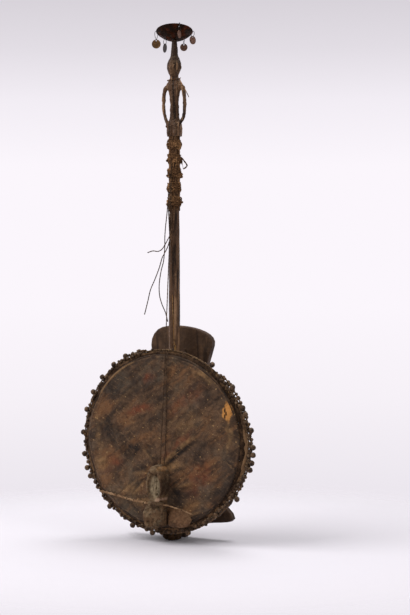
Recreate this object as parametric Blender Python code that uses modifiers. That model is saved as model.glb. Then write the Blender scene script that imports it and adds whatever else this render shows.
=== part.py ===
"""A bridge harp lute, standing upright: a round skin-fronted bowl on a carved wooden back, a long neck
carved with a standing figure, five cord tuning bindings, old strings, and a rattle dish with pendants.
Metres, +Z up, the skin faces -Y. The origin is the middle of the flat heel that the back stands on."""

import math
import random

import bmesh
import bpy
from mathutils import Matrix, Vector

# Driving sizes, in metres
GAP = 0.0003                 # between pieces that touch
SKIN_TO_BACK = 0.091         # face of the skin to the front of the wooden back
NECK_TO_SKIN = 0.057         # face of the skin to the neck's axis
BACK_THICKNESS = 0.018
RIM_LOW_Z = 0.034            # height of the skin's lower edge
SKIN_R = 0.180
SKIN_THICKNESS = 0.0016
SKIRT_DEPTH = 0.018          # how far the skin laps over the bowl's side
SKIRT_TAPER = 0.006
SKIRT_BEND = 0.004           # depth at which the skirt starts to taper
SHELL_WALL = 0.008
SHELL_BACK_WALL = 0.011
SHELL_BACK_R = 0.100
HOOP_R = 0.0060              # radius of the padded hoop's section
HOOP_DEPTH = 0.014           # from the skin's face to the hoop's middle
HOOP_STAND_OFF = 0.006       # how far the hoop has come away on the right
HOOP_RIBS = 40
BEAD_R = 0.0047
BEAD_COUNT = 62
RIM_CORD_R = 0.0012
NECK_R = 0.0112              # the stick where it passes the bowl
NECK_TOP_R = 0.0104          # the stick under the tuning bindings
TAIL_Z = 0.004               # lower end of the stick
STEP_Z = 0.849               # underside of the carved figure
POST_H = 0.0335              # the post above the figure's crown
HEEL_HALF = 0.020
HEEL_X = -0.014              # the heel's middle, left of the neck
BINDING_CORD_R = 0.0020
BINDING_PITCH = 0.0046
BINDING_TURNS = 4
BINDING_DROP = 0.0165        # from the figure's underside to the middle of the top binding
STRING_BEND_DROP = 0.0725    # from the lowest binding to where the taut string lies along the neck
BINDING_SPACING = 0.030
BINDING_COUNT = 5
STRING_R = 0.0010
NECKLACE_R = 0.0008
STAY_R = 0.0019
DISH_R = 0.039
DISH_H = 0.0196
DISH_WALL = 0.0020
DISH_HOLE_R = 0.0017
NAIL_R = 0.0013
NAIL_LENGTH = 0.014
DISH_LEAN = 16               # degrees, and the side of the rim that stands highest, round the neck
DISH_HIGH_SIDE = -62.5
WIRE_R = 0.00055
LINK_W = 0.0065
LINK_CLEAR = 0.0016          # from the dish's rim up to the middle of a link's wire
DISC_T = 0.0009
DISC_HOLE_R = 0.0014
DISC_EDGE = 0.0023           # from a disc's rim to the middle of its hole
PEG_R = 0.0040
PEG_X = 0.028
PEG_Z = 0.055
PEG_IN_BOWL = 0.007
BRIDGE_W = 0.040
BRIDGE_LOW_Z = 0.0885
BRIDGE_TOP_Z = 0.166
BRIDGE_PROUD = 0.034
WAIST_DEPTH = 0.017
FOOT_W = 0.044
FOOT_LOW_Z = 0.036
FOOT_TOP_Z = 0.0840
FOOT_PROUD = 0.026
FOOT_X = -0.006
FOLD_W = 0.050
FOLD_H = 0.040
FOLD_PROUD = 0.013
TAIL_W = 0.040
TAIL_D = 0.046
TAIL_H = 0.034
TAIL_X = -0.006

# Places that follow from them
BACK_FRONT_Y = -BACK_THICKNESS / 2
SKIN_Y = BACK_FRONT_Y - SKIN_TO_BACK
DRUM_Z = RIM_LOW_Z + SKIN_R                      # height of the skin's centre
NECK_Y = SKIN_Y + NECK_TO_SKIN
HOOP_Y = SKIN_Y + HOOP_DEPTH
SHELL_R = SKIN_R - SKIN_THICKNESS - GAP
SHELL_FRONT = SKIN_THICKNESS + GAP               # depths behind the face of the skin
SHELL_BACK = SKIN_TO_BACK - GAP
SKIRT_SLOPE = SKIRT_TAPER / (SKIRT_DEPTH - SKIRT_BEND)
HOOP_SEAT = (HOOP_R + 1.6 * GAP) * math.hypot(1, SKIRT_SLOPE)
HOOP_RING = SKIN_R - SKIRT_SLOPE * (HOOP_DEPTH - SKIRT_BEND) + HOOP_SEAT
BEAD_RING = HOOP_RING + HOOP_R + GAP + BEAD_R
BINDING_LOW_Z = STEP_Z - BINDING_DROP - BINDING_SPACING * (BINDING_COUNT - 1)
BINDING_RING = NECK_TOP_R + GAP + BINDING_CORD_R
STRING_RING = BINDING_RING + BINDING_CORD_R + GAP + STRING_R   # a string lying over the bindings

# Name, angle round the dish, hole's distance from the rim, drop of the link, disc radius, turn of its eye
PENDANTS = [
    ("1", 202.5, 0.0038, 0.0145, 0.0095, 90),
    ("2", 150.5, 0.0038, 0.0112, 0.0098, 82),
    ("3", 87.5, 0.0038, 0.0110, 0.0080, 30),
    ("4", 32.5, 0.0038, 0.0068, 0.0090, -50),
    ("5", -45.5, 0.0050, 0.0095, 0.0085, 50),
]

# Outline of the wooden back, from the heel's right corner over the top to its left corner
BACK_OUTLINE = [
    (HEEL_X + HEEL_HALF, 0.000), (0.009, 0.014), (0.026, 0.0255), (0.062, 0.034),
    (0.090, 0.037), (0.113, 0.0405),
    (0.119, 0.0465), (0.114, 0.058), (0.099, 0.073), (0.074, 0.108), (0.054, 0.165), (0.047, 0.245),
    (0.050, 0.325), (0.058, 0.368), (0.067, 0.398), (0.071, 0.418), (0.060, 0.433), (0.034, 0.444),
    (0.000, 0.450), (-0.036, 0.450), (-0.061, 0.442), (-0.075, 0.422), (-0.0755, 0.395),
    (-0.066, 0.360), (-0.053, 0.320), (-0.047, 0.245), (-0.054, 0.165), (-0.074, 0.108),
    (-0.099, 0.073), (-0.114, 0.058), (-0.119, 0.0465), (-0.113, 0.0405), (-0.090, 0.037),
    (-0.062, 0.034), (-0.046, 0.0255), (-0.037, 0.014), (HEEL_X - HEEL_HALF, 0.000),
]

# The figure: height above its underside, half width, half depth, shift forward, squareness
FIGURE_SECTIONS = [
    (0.000, 0.0150, 0.0118, 0, 3.2), (0.011, 0.0162, 0.0125, 0, 3.2), (0.025, 0.0160, 0.0120, 0, 2.8),
    (0.035, 0.0110, 0.0095, 0, 2.3), (0.047, 0.0087, 0.0082, 0, 2.0), (0.067, 0.0078, 0.0078, 0, 2.0),
    (0.085, 0.0098, 0.0085, 0, 2.0), (0.098, 0.0138, 0.0092, 0, 2.2), (0.108, 0.0165, 0.0090, 0, 2.3),
    (0.114, 0.0125, 0.0082, 0, 2.1), (0.118, 0.0082, 0.0078, 0, 2.0), (0.124, 0.0076, 0.0080, 0, 2.0),
    (0.129, 0.0092, 0.0108, 0.0020, 2.0), (0.136, 0.0124, 0.0138, 0.0022, 2.0),
    (0.145, 0.0146, 0.0152, 0.0012, 2.1), (0.154, 0.0140, 0.0148, 0.0004, 2.1),
    (0.161, 0.0112, 0.0116, 0, 2.0), (0.166, 0.0082, 0.0082, 0, 2.0), (0.1682, 0.0080, 0.0080, 0, 2.0),
    (0.1690, 0.0068, 0.0068, 0, 2.0),
]
CROWN_Z = STEP_Z + FIGURE_SECTIONS[-1][0]
POST_TOP_Z = CROWN_Z + POST_H
DISH_Z = POST_TOP_Z + GAP
HIGH = math.radians(DISH_HIGH_SIDE)
LEAN = Matrix.Rotation(math.radians(DISH_LEAN), 4, Vector((math.sin(HIGH), -math.cos(HIGH), 0)))

# The whole neck, from the stick's lower end to the top of the post
NECK_SECTIONS = [
    (TAIL_Z, NECK_R, NECK_R, 0, 2.0), (0.395, NECK_R, NECK_R, 0, 2.0), (0.560, 0.0108, 0.0108, 0, 2.0),
    (0.690, NECK_TOP_R, NECK_TOP_R, 0, 2.0), (STEP_Z - 0.0008, NECK_TOP_R, NECK_TOP_R, 0, 2.0),
    *[(STEP_Z + section[0], *section[1:]) for section in FIGURE_SECTIONS],
    (CROWN_Z + 0.48 * POST_H, 0.0062, 0.0062, 0, 2.0), (POST_TOP_Z + 0.002, 0.0052, 0.0052, 0, 2.0),
]

# Arms of the figure, hands on the hips: across, forward, height above its underside, radius
RIGHT_ARM = [
    (0.0130, 0.000, 0.106, 0.0048), (0.0208, -0.001, 0.101, 0.0050), (0.0242, -0.002, 0.087, 0.0042),
    (0.0252, -0.002, 0.071, 0.0038), (0.0252, -0.003, 0.054, 0.0036), (0.0236, -0.004, 0.040, 0.0034),
    (0.0185, -0.006, 0.030, 0.0034), (0.0130, -0.006, 0.023, 0.0036),
]
LEFT_ARM = [
    (-0.0130, 0.000, 0.106, 0.0048), (-0.0200, -0.001, 0.101, 0.0050), (-0.0236, -0.002, 0.088, 0.0042),
    (-0.0246, -0.002, 0.071, 0.0038), (-0.0236, -0.003, 0.054, 0.0036), (-0.0192, -0.005, 0.040, 0.0034),
    (-0.0150, -0.006, 0.031, 0.0034), (-0.0120, -0.006, 0.023, 0.0036),
]

# Cords, chosen by hand: across, depth behind the face of the skin, height
NECKLACE = [
    (0.0064, 0.0508, 0.9690), (0.0020, 0.0455, 0.9672), (-0.0080, 0.0470, 0.9672),
    (-0.0152, 0.0535, 0.9668), (-0.0150, 0.0600, 0.9672), (-0.0085, 0.0665, 0.9690),
    (0.0010, 0.0685, 0.9708), (0.0095, 0.0650, 0.9722), (0.0135, 0.0575, 0.9712),
    (0.0165, 0.0510, 0.9665), (0.0225, 0.0470, 0.9590), (0.0290, 0.0455, 0.9490),
    (0.0355, 0.0450, 0.9385), (0.0405, 0.0450, 0.9285),
]
SLACK_STRING = [
    (-0.0095, 0.0440, 0.7145), (-0.0098, 0.0440, 0.6980), (-0.0120, 0.0445, 0.6800),
    (-0.0150, 0.0450, 0.6580), (-0.0166, 0.0450, 0.6370), (-0.0166, 0.0450, 0.6195),
    (-0.0178, 0.0450, 0.6030), (-0.0200, 0.0450, 0.5860), (-0.0255, 0.0450, 0.5670),
    (-0.0300, 0.0450, 0.5400), (-0.0294, 0.0450, 0.5166), (-0.0240, 0.0450, 0.4980),
    (-0.0150, 0.0450, 0.4790), (-0.0095, 0.0450, 0.4600),
]
BROKEN_STRING_UPPER = [
    (0.0007, 0.0409, 0.8025), (0.0007, 0.0409, 0.7500), (0.0007, 0.0409, 0.7000),
    (0.0007, 0.0440, 0.6720), (0.0006, 0.0425, 0.6550), (-0.0010, 0.0392, 0.6420),
    (-0.0060, 0.0370, 0.6310), (-0.0120, 0.0365, 0.6210), (-0.0195, 0.0370, 0.6120),
    (-0.0288, 0.0375, 0.6080), (-0.0416, 0.0380, 0.6090), (-0.0542, 0.0380, 0.6055),
]
BROKEN_STRING_LOWER = [
    (-0.0028, 0.0412, 0.7725), (-0.0028, 0.0412, 0.7350), (-0.0028, 0.0412, 0.7000),
    (-0.0028, 0.0440, 0.6720), (-0.0029, 0.0440, 0.6500), (-0.0030, 0.0425, 0.6360),
    (-0.0042, 0.0400, 0.6250), (-0.0075, 0.0380, 0.6140), (-0.0150, 0.0385, 0.6020),
    (-0.0225, 0.0430, 0.5930), (-0.0330, 0.0500, 0.5730), (-0.0446, 0.0520, 0.5490),
    (-0.0552, 0.0520, 0.5270), (-0.0614, 0.0520, 0.5040), (-0.0668, 0.0520, 0.4850),
    (-0.0699, 0.0520, 0.4746),
]
STAY_CORD = [
    (-0.1480, -0.0024, 0.1010), (-0.1280, -0.0030, 0.0985), (-0.1020, -0.0050, 0.0945),
    (-0.0760, -0.0095, 0.0905), (-0.0480, -0.0170, 0.0880), (-0.0240, -0.0215, 0.0864),
    (0.0000, -0.0222, 0.0863), (0.0230, -0.0215, 0.0866), (0.0400, -0.0185, 0.0855),
    (0.0560, -0.0115, 0.0805), (0.0700, -0.0045, 0.0715), (0.0760, -0.0026, 0.0665),
]

for old in list(bpy.data.objects):
    bpy.data.objects.remove(old, do_unlink=True)

PARTS = bpy.data.collections.new("harp_lute")
CUTTERS = bpy.data.collections.new("cutters")
bpy.context.scene.collection.children.link(PARTS)
bpy.context.scene.collection.children.link(CUTTERS)


def material(name, colour, roughness, metallic=0.0):
    m = bpy.data.materials.new(name)
    m.use_nodes = True
    shader = m.node_tree.nodes["Principled BSDF"]
    shader.inputs["Base Color"].default_value = (*colour, 1)
    shader.inputs["Roughness"].default_value = roughness
    shader.inputs["Metallic"].default_value = metallic
    m.diffuse_color = (*colour, 1)
    return m


DARK_WOOD = material("dark_wood", (0.075, 0.052, 0.036), 0.5)
GREY_WOOD = material("grey_wood", (0.085, 0.070, 0.056), 0.55)
SKIN_HIDE = material("skin_hide", (0.110, 0.068, 0.043), 0.6)
TAN_HIDE = material("tan_hide", (0.230, 0.140, 0.085), 0.6)
SEED = material("seed", (0.060, 0.045, 0.034), 0.45)
BROWN_CORD = material("brown_cord", (0.140, 0.095, 0.055), 0.8)
PALE_CORD = material("pale_cord", (0.330, 0.235, 0.155), 0.85)
GUT = material("gut", (0.120, 0.075, 0.050), 0.6)
BRIDGE_WOOD = material("bridge_wood", (0.250, 0.200, 0.145), 0.7)
DISH_METAL = material("dish_metal", (0.060, 0.032, 0.024), 0.5, 0.6)
WIRE = material("wire", (0.080, 0.070, 0.070), 0.4, 0.9)
DISC_METAL = material("disc_metal", (0.300, 0.180, 0.110), 0.5, 0.7)


def add(name, mesh, mat, at=(0, 0, 0)):
    """Puts a mesh in the parts' collection as the sub-part of that name."""
    o = bpy.data.objects.new(name, mesh)
    o.location = at
    mesh.materials.clear()
    mesh.materials.append(mat)
    PARTS.objects.link(o)
    return o


def as_mesh(o):
    """The evaluated mesh of an object in its own space, welded and facing out. The object goes."""
    bpy.context.view_layer.update()
    graph = bpy.context.evaluated_depsgraph_get()
    mesh = bpy.data.meshes.new_from_object(o.evaluated_get(graph))
    bm = bmesh.new()
    bm.from_mesh(mesh)
    bmesh.ops.remove_doubles(bm, verts=bm.verts, dist=0.00002)
    bmesh.ops.recalc_face_normals(bm, faces=bm.faces)
    bm.to_mesh(mesh)
    bm.free()
    bpy.data.objects.remove(o, do_unlink=True)
    return mesh


def smooth(mesh, degrees=35):
    mesh.shade_smooth()
    mesh.set_sharp_from_angle(angle=math.radians(degrees))
    return mesh


def through(points, step):
    """Points about step apart along a smooth curve through the given ones."""
    p = [Vector(q) for q in points]
    p = [2 * p[0] - p[1], *p, 2 * p[-1] - p[-2]]
    out = []
    for a, b, c, d in zip(p, p[1:], p[2:], p[3:]):
        n = max(1, round((c - b).length / step))
        for i in range(n):
            t = i / n
            out.append(0.5 * (2 * b + (c - a) * t + (2 * a - 5 * b + 4 * c - d) * t * t
                              + (3 * b - a - 3 * c + d) * t ** 3))
    return [*out, p[-2]]


def tube(points, radius, sides=2, cyclic=False, radii=None):
    """A mesh tube along the points. radii scales the radius at each of them."""
    curve = bpy.data.curves.new("tube", "CURVE")
    curve.dimensions = "3D"
    curve.bevel_depth = radius
    curve.bevel_resolution = sides
    curve.use_fill_caps = not cyclic
    spline = curve.splines.new("POLY")
    spline.points.add(len(points) - 1)
    for i, q in enumerate(points):
        spline.points[i].co = (*q, 1)
        spline.points[i].radius = radii[i] if radii else 1
    spline.use_cyclic_u = cyclic
    o = bpy.data.objects.new("tube", curve)
    PARTS.objects.link(o)
    return as_mesh(o)


def turned(profile, steps, axis="Z", closed=False):
    """A solid turned from (radius, height) points about an axis. closed joins the last to the first."""
    mesh = bpy.data.meshes.new("profile")
    if axis == "Z":
        points = [(r, 0, h) for r, h in profile]
    else:
        points = [(r, h, 0) for r, h in profile]
    edges = [(i, i + 1) for i in range(len(points) - 1)]
    if closed:
        edges.append((len(points) - 1, 0))
    mesh.from_pydata(points, edges, [])
    o = bpy.data.objects.new("profile", mesh)
    PARTS.objects.link(o)
    screw = o.modifiers.new("turn", "SCREW")
    screw.axis = axis
    screw.steps = screw.render_steps = steps
    screw.use_merge_vertices = True
    screw.merge_threshold = 0.00002
    screw.use_normal_calculate = True
    return as_mesh(o)


def extruded(outline, thickness, edge, closed=True):
    """A flat outline in X and Z, with its thickness along Y about 0 and rounded edges."""
    curve = bpy.data.curves.new("outline", "CURVE")
    curve.dimensions = "2D"
    curve.fill_mode = "BOTH"
    curve.extrude = thickness / 2 - edge
    curve.bevel_depth = edge
    curve.bevel_resolution = 1
    curve.offset = -edge
    spline = curve.splines.new("POLY")
    spline.points.add(len(outline) - 1)
    for i, (x, z) in enumerate(outline):
        spline.points[i].co = (x, z, 0, 1)
    spline.use_cyclic_u = closed
    o = bpy.data.objects.new("outline", curve)
    PARTS.objects.link(o)
    mesh = as_mesh(o)
    mesh.transform(Matrix.Rotation(math.radians(90), 4, "X"))
    return mesh


def ball(centre, size, segments=12, rings=8):
    """A mesh ellipsoid with those half sizes."""
    bm = bmesh.new()
    bmesh.ops.create_uvsphere(bm, u_segments=segments, v_segments=rings, radius=1)
    bmesh.ops.scale(bm, vec=size, verts=bm.verts)
    bmesh.ops.translate(bm, vec=centre, verts=bm.verts)
    mesh = bpy.data.meshes.new("ball")
    bm.to_mesh(mesh)
    bm.free()
    return mesh


def rod(centre, radius, length, axis="Z", segments=16):
    """A mesh cylinder."""
    bm = bmesh.new()
    bmesh.ops.create_cone(bm, cap_ends=True, segments=segments, radius1=radius, radius2=radius, depth=length)
    turn = {"X": Matrix.Rotation(math.pi / 2, 4, "Y"), "Y": Matrix.Rotation(math.pi / 2, 4, "X"),
            "Z": Matrix.Identity(4)}[axis]
    bmesh.ops.transform(bm, matrix=Matrix.Translation(centre) @ turn, verts=bm.verts)
    mesh = bpy.data.meshes.new("rod")
    bm.to_mesh(mesh)
    bm.free()
    return mesh


def box(centre, size):
    bm = bmesh.new()
    bmesh.ops.create_cube(bm, size=1)
    bmesh.ops.scale(bm, vec=size, verts=bm.verts)
    bmesh.ops.translate(bm, vec=centre, verts=bm.verts)
    mesh = bpy.data.meshes.new("box")
    bm.to_mesh(mesh)
    bm.free()
    return mesh


def combine(o, mesh, operation):
    """Joins a mesh to a sub-part, or cuts it away, with a Boolean modifier."""
    tool = bpy.data.objects.new(o.name + "_tool", mesh)
    tool.location = o.location
    tool.hide_render = True
    tool.display_type = "WIRE"
    CUTTERS.objects.link(tool)
    m = o.modifiers.new(operation.lower(), "BOOLEAN")
    m.operation = operation
    m.solver = "EXACT"
    m.object = tool


def soft_block(size, levels=2):
    """A rounded block about 0, from a cube cage with Subdivision Surface."""
    o = bpy.data.objects.new("block", box((0, 0, 0), size))
    PARTS.objects.link(o)
    bevel = o.modifiers.new("bevel", "BEVEL")
    bevel.width = min(size) * 0.32
    bevel.segments = 1
    sub = o.modifiers.new("round", "SUBSURF")
    sub.levels = sub.render_levels = levels
    return as_mesh(o)


def behind(x, depth, z):
    """A point by its depth behind the face of the skin."""
    return (x, SKIN_Y + depth, z)


def hoop_swell(angle):
    """How far the hoop and what is tied to it stand off on the right."""
    away = math.degrees(math.atan2(math.sin(angle), math.cos(angle))) + 4
    return HOOP_STAND_OFF * math.exp(-((away / 24) ** 2))


def ring_point(radius, y, angle):
    r = radius + hoop_swell(angle)
    return (r * math.cos(angle), y, DRUM_Z + r * math.sin(angle))


def shell_profile():
    """The bowl's side, from its mouth to its flat back: radius against depth."""
    depth = SHELL_BACK - SHELL_FRONT
    fall = SHELL_R - SHELL_BACK_R
    angles = [math.radians(a) for a in (0, 14, 28, 42, 56, 70, 90)]
    return [(SHELL_R - fall * (1 - math.cos(a)) ** 0.62, SHELL_FRONT + depth * math.sin(a)) for a in angles]


def make_shell():
    """The wooden bowl, open at the front, bored for the neck and for the back's pegs."""
    outer = shell_profile()
    inner = [(r - SHELL_WALL, min(d, SHELL_BACK - SHELL_BACK_WALL)) for r, d in outer]
    profile = [(0, SHELL_BACK), *reversed(outer), *inner[:-1], (0, SHELL_BACK - SHELL_BACK_WALL)]
    mesh = turned([(r, SKIN_Y + d) for r, d in profile], 48, axis="Y")
    mesh.transform(Matrix.Translation((0, 0, DRUM_Z)))
    o = add("shell", smooth(mesh), DARK_WOOD)
    combine(o, rod((0, NECK_Y, DRUM_Z), NECK_R + GAP, 2 * SKIN_R, segments=24), "DIFFERENCE")
    for x in (-PEG_X, PEG_X):
        for z in (-PEG_Z, PEG_Z):
            middle = (x, BACK_FRONT_Y - PEG_IN_BOWL / 2, DRUM_Z + z)
            hole = rod(middle, PEG_R + GAP, PEG_IN_BOWL + 2 * GAP, "Y", 12)
            combine(o, hole, "DIFFERENCE")


def make_back():
    """The carved wooden back with its flared top, flared foot and flat heel."""
    side = [(p.x, p.y) for p in through([(x, z, 0) for x, z in BACK_OUTLINE], 0.0115)]
    o = add("wooden_back", smooth(extruded(side, BACK_THICKNESS, 0.003)), GREY_WOOD)
    number = 0
    for z in (PEG_Z, -PEG_Z):
        for x in (-PEG_X, PEG_X):
            number += 1
            combine(o, rod((x, 0, DRUM_Z + z), PEG_R + GAP, 3 * BACK_THICKNESS, "Y", 12), "DIFFERENCE")
            length = BACK_THICKNESS + PEG_IN_BOWL
            peg = rod((0, 0, 0), PEG_R, length, "Y", 12)
            add(f"back_peg_{number}", smooth(peg), DARK_WOOD,
                (x, BACK_THICKNESS / 2 - length / 2 + 0.001, DRUM_Z + z))


def make_skin():
    """The skin, stretched over the bowl's mouth and lapped down its side."""
    low = SKIN_R - SKIRT_TAPER
    profile = [
        (0, 0), (SKIN_R * 0.5, 0), (SKIN_R - 0.004, 0), (SKIN_R - 0.0012, 0.0012), (SKIN_R, SKIRT_BEND),
        (low, SKIRT_DEPTH), (low - SKIN_THICKNESS + 0.0001, SKIRT_DEPTH),
        (SKIN_R - SKIN_THICKNESS, SKIRT_BEND + 0.001), (SKIN_R - SKIN_THICKNESS, SKIN_THICKNESS),
        (0, SKIN_THICKNESS),
    ]
    mesh = turned([(r, SKIN_Y + d) for r, d in profile], 48, axis="Y")
    mesh.transform(Matrix.Translation((0, 0, DRUM_Z)))
    add("skin", smooth(mesh), SKIN_HIDE)


def make_rim():
    """The padded hoop that holds the skin, the seeds strung round it and the cord that ties them on."""
    n = 2 * HOOP_RIBS
    angles = [2 * math.pi * i / n for i in range(n)]
    points = [ring_point(HOOP_RING, HOOP_Y, a) for a in angles]
    add("rim_hoop", smooth(tube(points, HOOP_R, 1, True, [1.0, 0.84] * HOOP_RIBS), 60), BROWN_CORD)

    random.seed(7)
    points, radii = [], []
    for i in range(BEAD_COUNT):
        big = random.uniform(0.90, 1.0) if i % 3 != 1 else random.uniform(0.60, 0.78)
        out = 0.004 if random.random() < 0.16 else 0
        middle = 2 * math.pi * (i + random.uniform(-0.08, 0.08)) / BEAD_COUNT
        half = BEAD_R * big / BEAD_RING
        for share, size in ((-1, 0.34), (0, 1.0), (1, 0.34)):
            a = middle + share * half
            lift = out if share == 0 else out * 0.5
            points.append(ring_point(BEAD_RING - BEAD_R * (1 - big) + lift, HOOP_Y, a))
            radii.append(size * big)
    add("bead_string", smooth(tube(points, BEAD_R, 1, True, radii), 60), SEED)

    to_hoop = HOOP_R + GAP + RIM_CORD_R
    to_bead = BEAD_R + GAP + RIM_CORD_R
    apart = BEAD_RING - HOOP_RING
    across = (to_hoop ** 2 - to_bead ** 2 + apart ** 2) / (2 * apart)
    forward = math.sqrt(to_hoop ** 2 - across ** 2)
    points = [ring_point(HOOP_RING + across, HOOP_Y - forward, 2 * math.pi * i / 50) for i in range(50)]
    add("rim_cord", smooth(tube(points, RIM_CORD_R, 1, True), 60), PALE_CORD)


def loft(sections, count=16):
    """A closed solid through flat sections: height, half width, half depth, shift forward, squareness."""
    bm = bmesh.new()
    rings = []
    for z, rx, ry, forward, power in sections:
        ring = []
        for i in range(count):
            a = 2 * math.pi * i / count
            c, s = math.cos(a), math.sin(a)
            ring.append(bm.verts.new((math.copysign(abs(c) ** (2 / power), c) * rx,
                                      math.copysign(abs(s) ** (2 / power), s) * ry - forward, z)))
        rings.append(ring)
    for low, high in zip(rings, rings[1:]):
        for i in range(count):
            j = (i + 1) % count
            bm.faces.new((low[i], low[j], high[j], high[i]))
    bm.faces.new(reversed(rings[0]))
    bm.faces.new(rings[-1])
    mesh = bpy.data.meshes.new("loft")
    bm.to_mesh(mesh)
    bm.free()
    return mesh


def make_neck():
    """The neck in one carving: stick, standing figure with hands on hips, head and post."""
    o = add("neck", smooth(loft(NECK_SECTIONS), 40), DARK_WOOD, (0, NECK_Y, 0))
    for arm in (RIGHT_ARM, LEFT_ARM):
        points = [(x, y, STEP_Z + z) for x, y, z, r in arm]
        combine(o, tube(points, 1.0, 1, False, [r for x, y, z, r in arm]), "UNION")
    for side in (-1, 1):
        combine(o, ball((side * 0.0146, 0.0005, STEP_Z + 0.1445), (0.0018, 0.0030, 0.0046), 8, 6), "UNION")
        combine(o, ball((side * 0.0052, -0.0152, STEP_Z + 0.1465), (0.0028, 0.0014, 0.0013), 8, 6), "UNION")
    combine(o, ball((0, -0.0164, STEP_Z + 0.1415), (0.0020, 0.0028, 0.0046), 8, 6), "UNION")
    combine(o, ball((0, -0.0150, STEP_Z + 0.1336), (0.0036, 0.0014, 0.0010), 8, 6), "UNION")
    groove = rod((0, -0.0130, STEP_Z + 0.0085), 0.0022, 0.021, segments=8)
    combine(o, groove, "DIFFERENCE")
    seat = box((0, 0, 0.01 - GAP), (0.05, 0.05, 0.02))
    hole = rod((0, 0, 0), NAIL_R + GAP, 2 * (NAIL_LENGTH - DISH_WALL), segments=10)
    for tool in (seat, hole):
        tool.transform(Matrix.Translation((0, 0, DISH_Z)) @ LEAN)
        combine(o, tool, "DIFFERENCE")


def make_tail_binding():
    """The bundle of hide and cord wrapped round the stick's lower end. It stands on the floor."""
    block = soft_block((TAIL_W, TAIL_D, TAIL_H))
    block.transform(Matrix.Translation((TAIL_X, NECK_Y, TAIL_H / 2 - 0.004)))
    o = add("tail_binding", smooth(block), BROWN_CORD)
    combine(o, box((0, NECK_Y, -0.05), (0.2, 0.2, 0.1)), "DIFFERENCE")
    combine(o, rod((0, NECK_Y, TAIL_Z - GAP + 0.05), NECK_R + GAP, 0.1, segments=20), "DIFFERENCE")


def winding(index):
    """One tuning binding: four turns of cord round the neck, ending in a knot."""
    half = BINDING_PITCH * BINDING_TURNS / 2
    per_turn = 12
    start = math.radians(-115 + 67 * index)
    points, radii = [], []
    for i in range(BINDING_TURNS * per_turn + 1):
        a = start + 2 * math.pi * i / per_turn
        z = -half + BINDING_PITCH * i / per_turn
        points.append(Vector((BINDING_RING * math.cos(a), BINDING_RING * math.sin(a), z)))
        radii.append(1.0)
    least = min((p - q).length for i, p in enumerate(points) for q in points[i + per_turn // 2:])
    print(f"tuning_binding_{index + 1}: least gap to itself {1000 * (least - 2 * BINDING_CORD_R):.2f} mm")
    return smooth(tube(points, BINDING_CORD_R, 1, False, radii), 60)


def make_bindings():
    for index in range(BINDING_COUNT):
        z = BINDING_LOW_Z + BINDING_SPACING * (BINDING_COUNT - 1 - index)
        add(f"tuning_binding_{index + 1}", winding(index), BROWN_CORD, (0, NECK_Y, z))


def make_strings():
    """The strings, the necklace and the stay cord."""
    for name, route, radius, mat in (
        ("slack_string", SLACK_STRING, STRING_R, GUT),
        ("broken_string_upper", BROKEN_STRING_UPPER, STRING_R, GUT),
        ("broken_string_lower", BROKEN_STRING_LOWER, STRING_R, GUT),
        ("necklace_cord", NECKLACE, NECKLACE_R, BROWN_CORD),
        ("stay_cord", STAY_CORD, STAY_R, PALE_CORD),
    ):
        points = [behind(*p) for p in through(route, 6 * radius)]
        add(name, smooth(tube(points, radius, 2), 60), mat)


def make_taut_string():
    """The one whole string: from its binding over the skin's upper edge to the bridge."""
    over_skin = (0.0099, -(STRING_R + 2 * GAP), DRUM_Z + math.sqrt((SKIN_R - 0.002) ** 2 - 0.0099 ** 2))
    at_neck = NECK_TO_SKIN - math.sqrt((0.0107 + GAP + STRING_R) ** 2 - 0.0057 ** 2)
    along_neck = (-0.0057, at_neck, BINDING_LOW_Z - STRING_BEND_DROP)
    end = (0.0040, -0.0120, BRIDGE_TOP_Z + 2 * GAP)
    over_bindings = NECK_TO_SKIN - math.sqrt(STRING_RING ** 2 - 0.0062 ** 2)
    top = [(-0.0062, over_bindings, BINDING_LOW_Z + BINDING_SPACING),
           (-0.0062, over_bindings, BINDING_LOW_Z - 0.012)]
    points = [behind(*p) for p in [*top, along_neck, over_skin, end]]
    fine = []
    for a, b in zip(points, points[1:]):
        fine += [Vector(a).lerp(Vector(b), t) for t in (0, 0.05, 0.35, 0.65, 0.95)]
    add("taut_string", smooth(tube([*fine, points[-1]], STRING_R, 2), 60), GUT)


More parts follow.
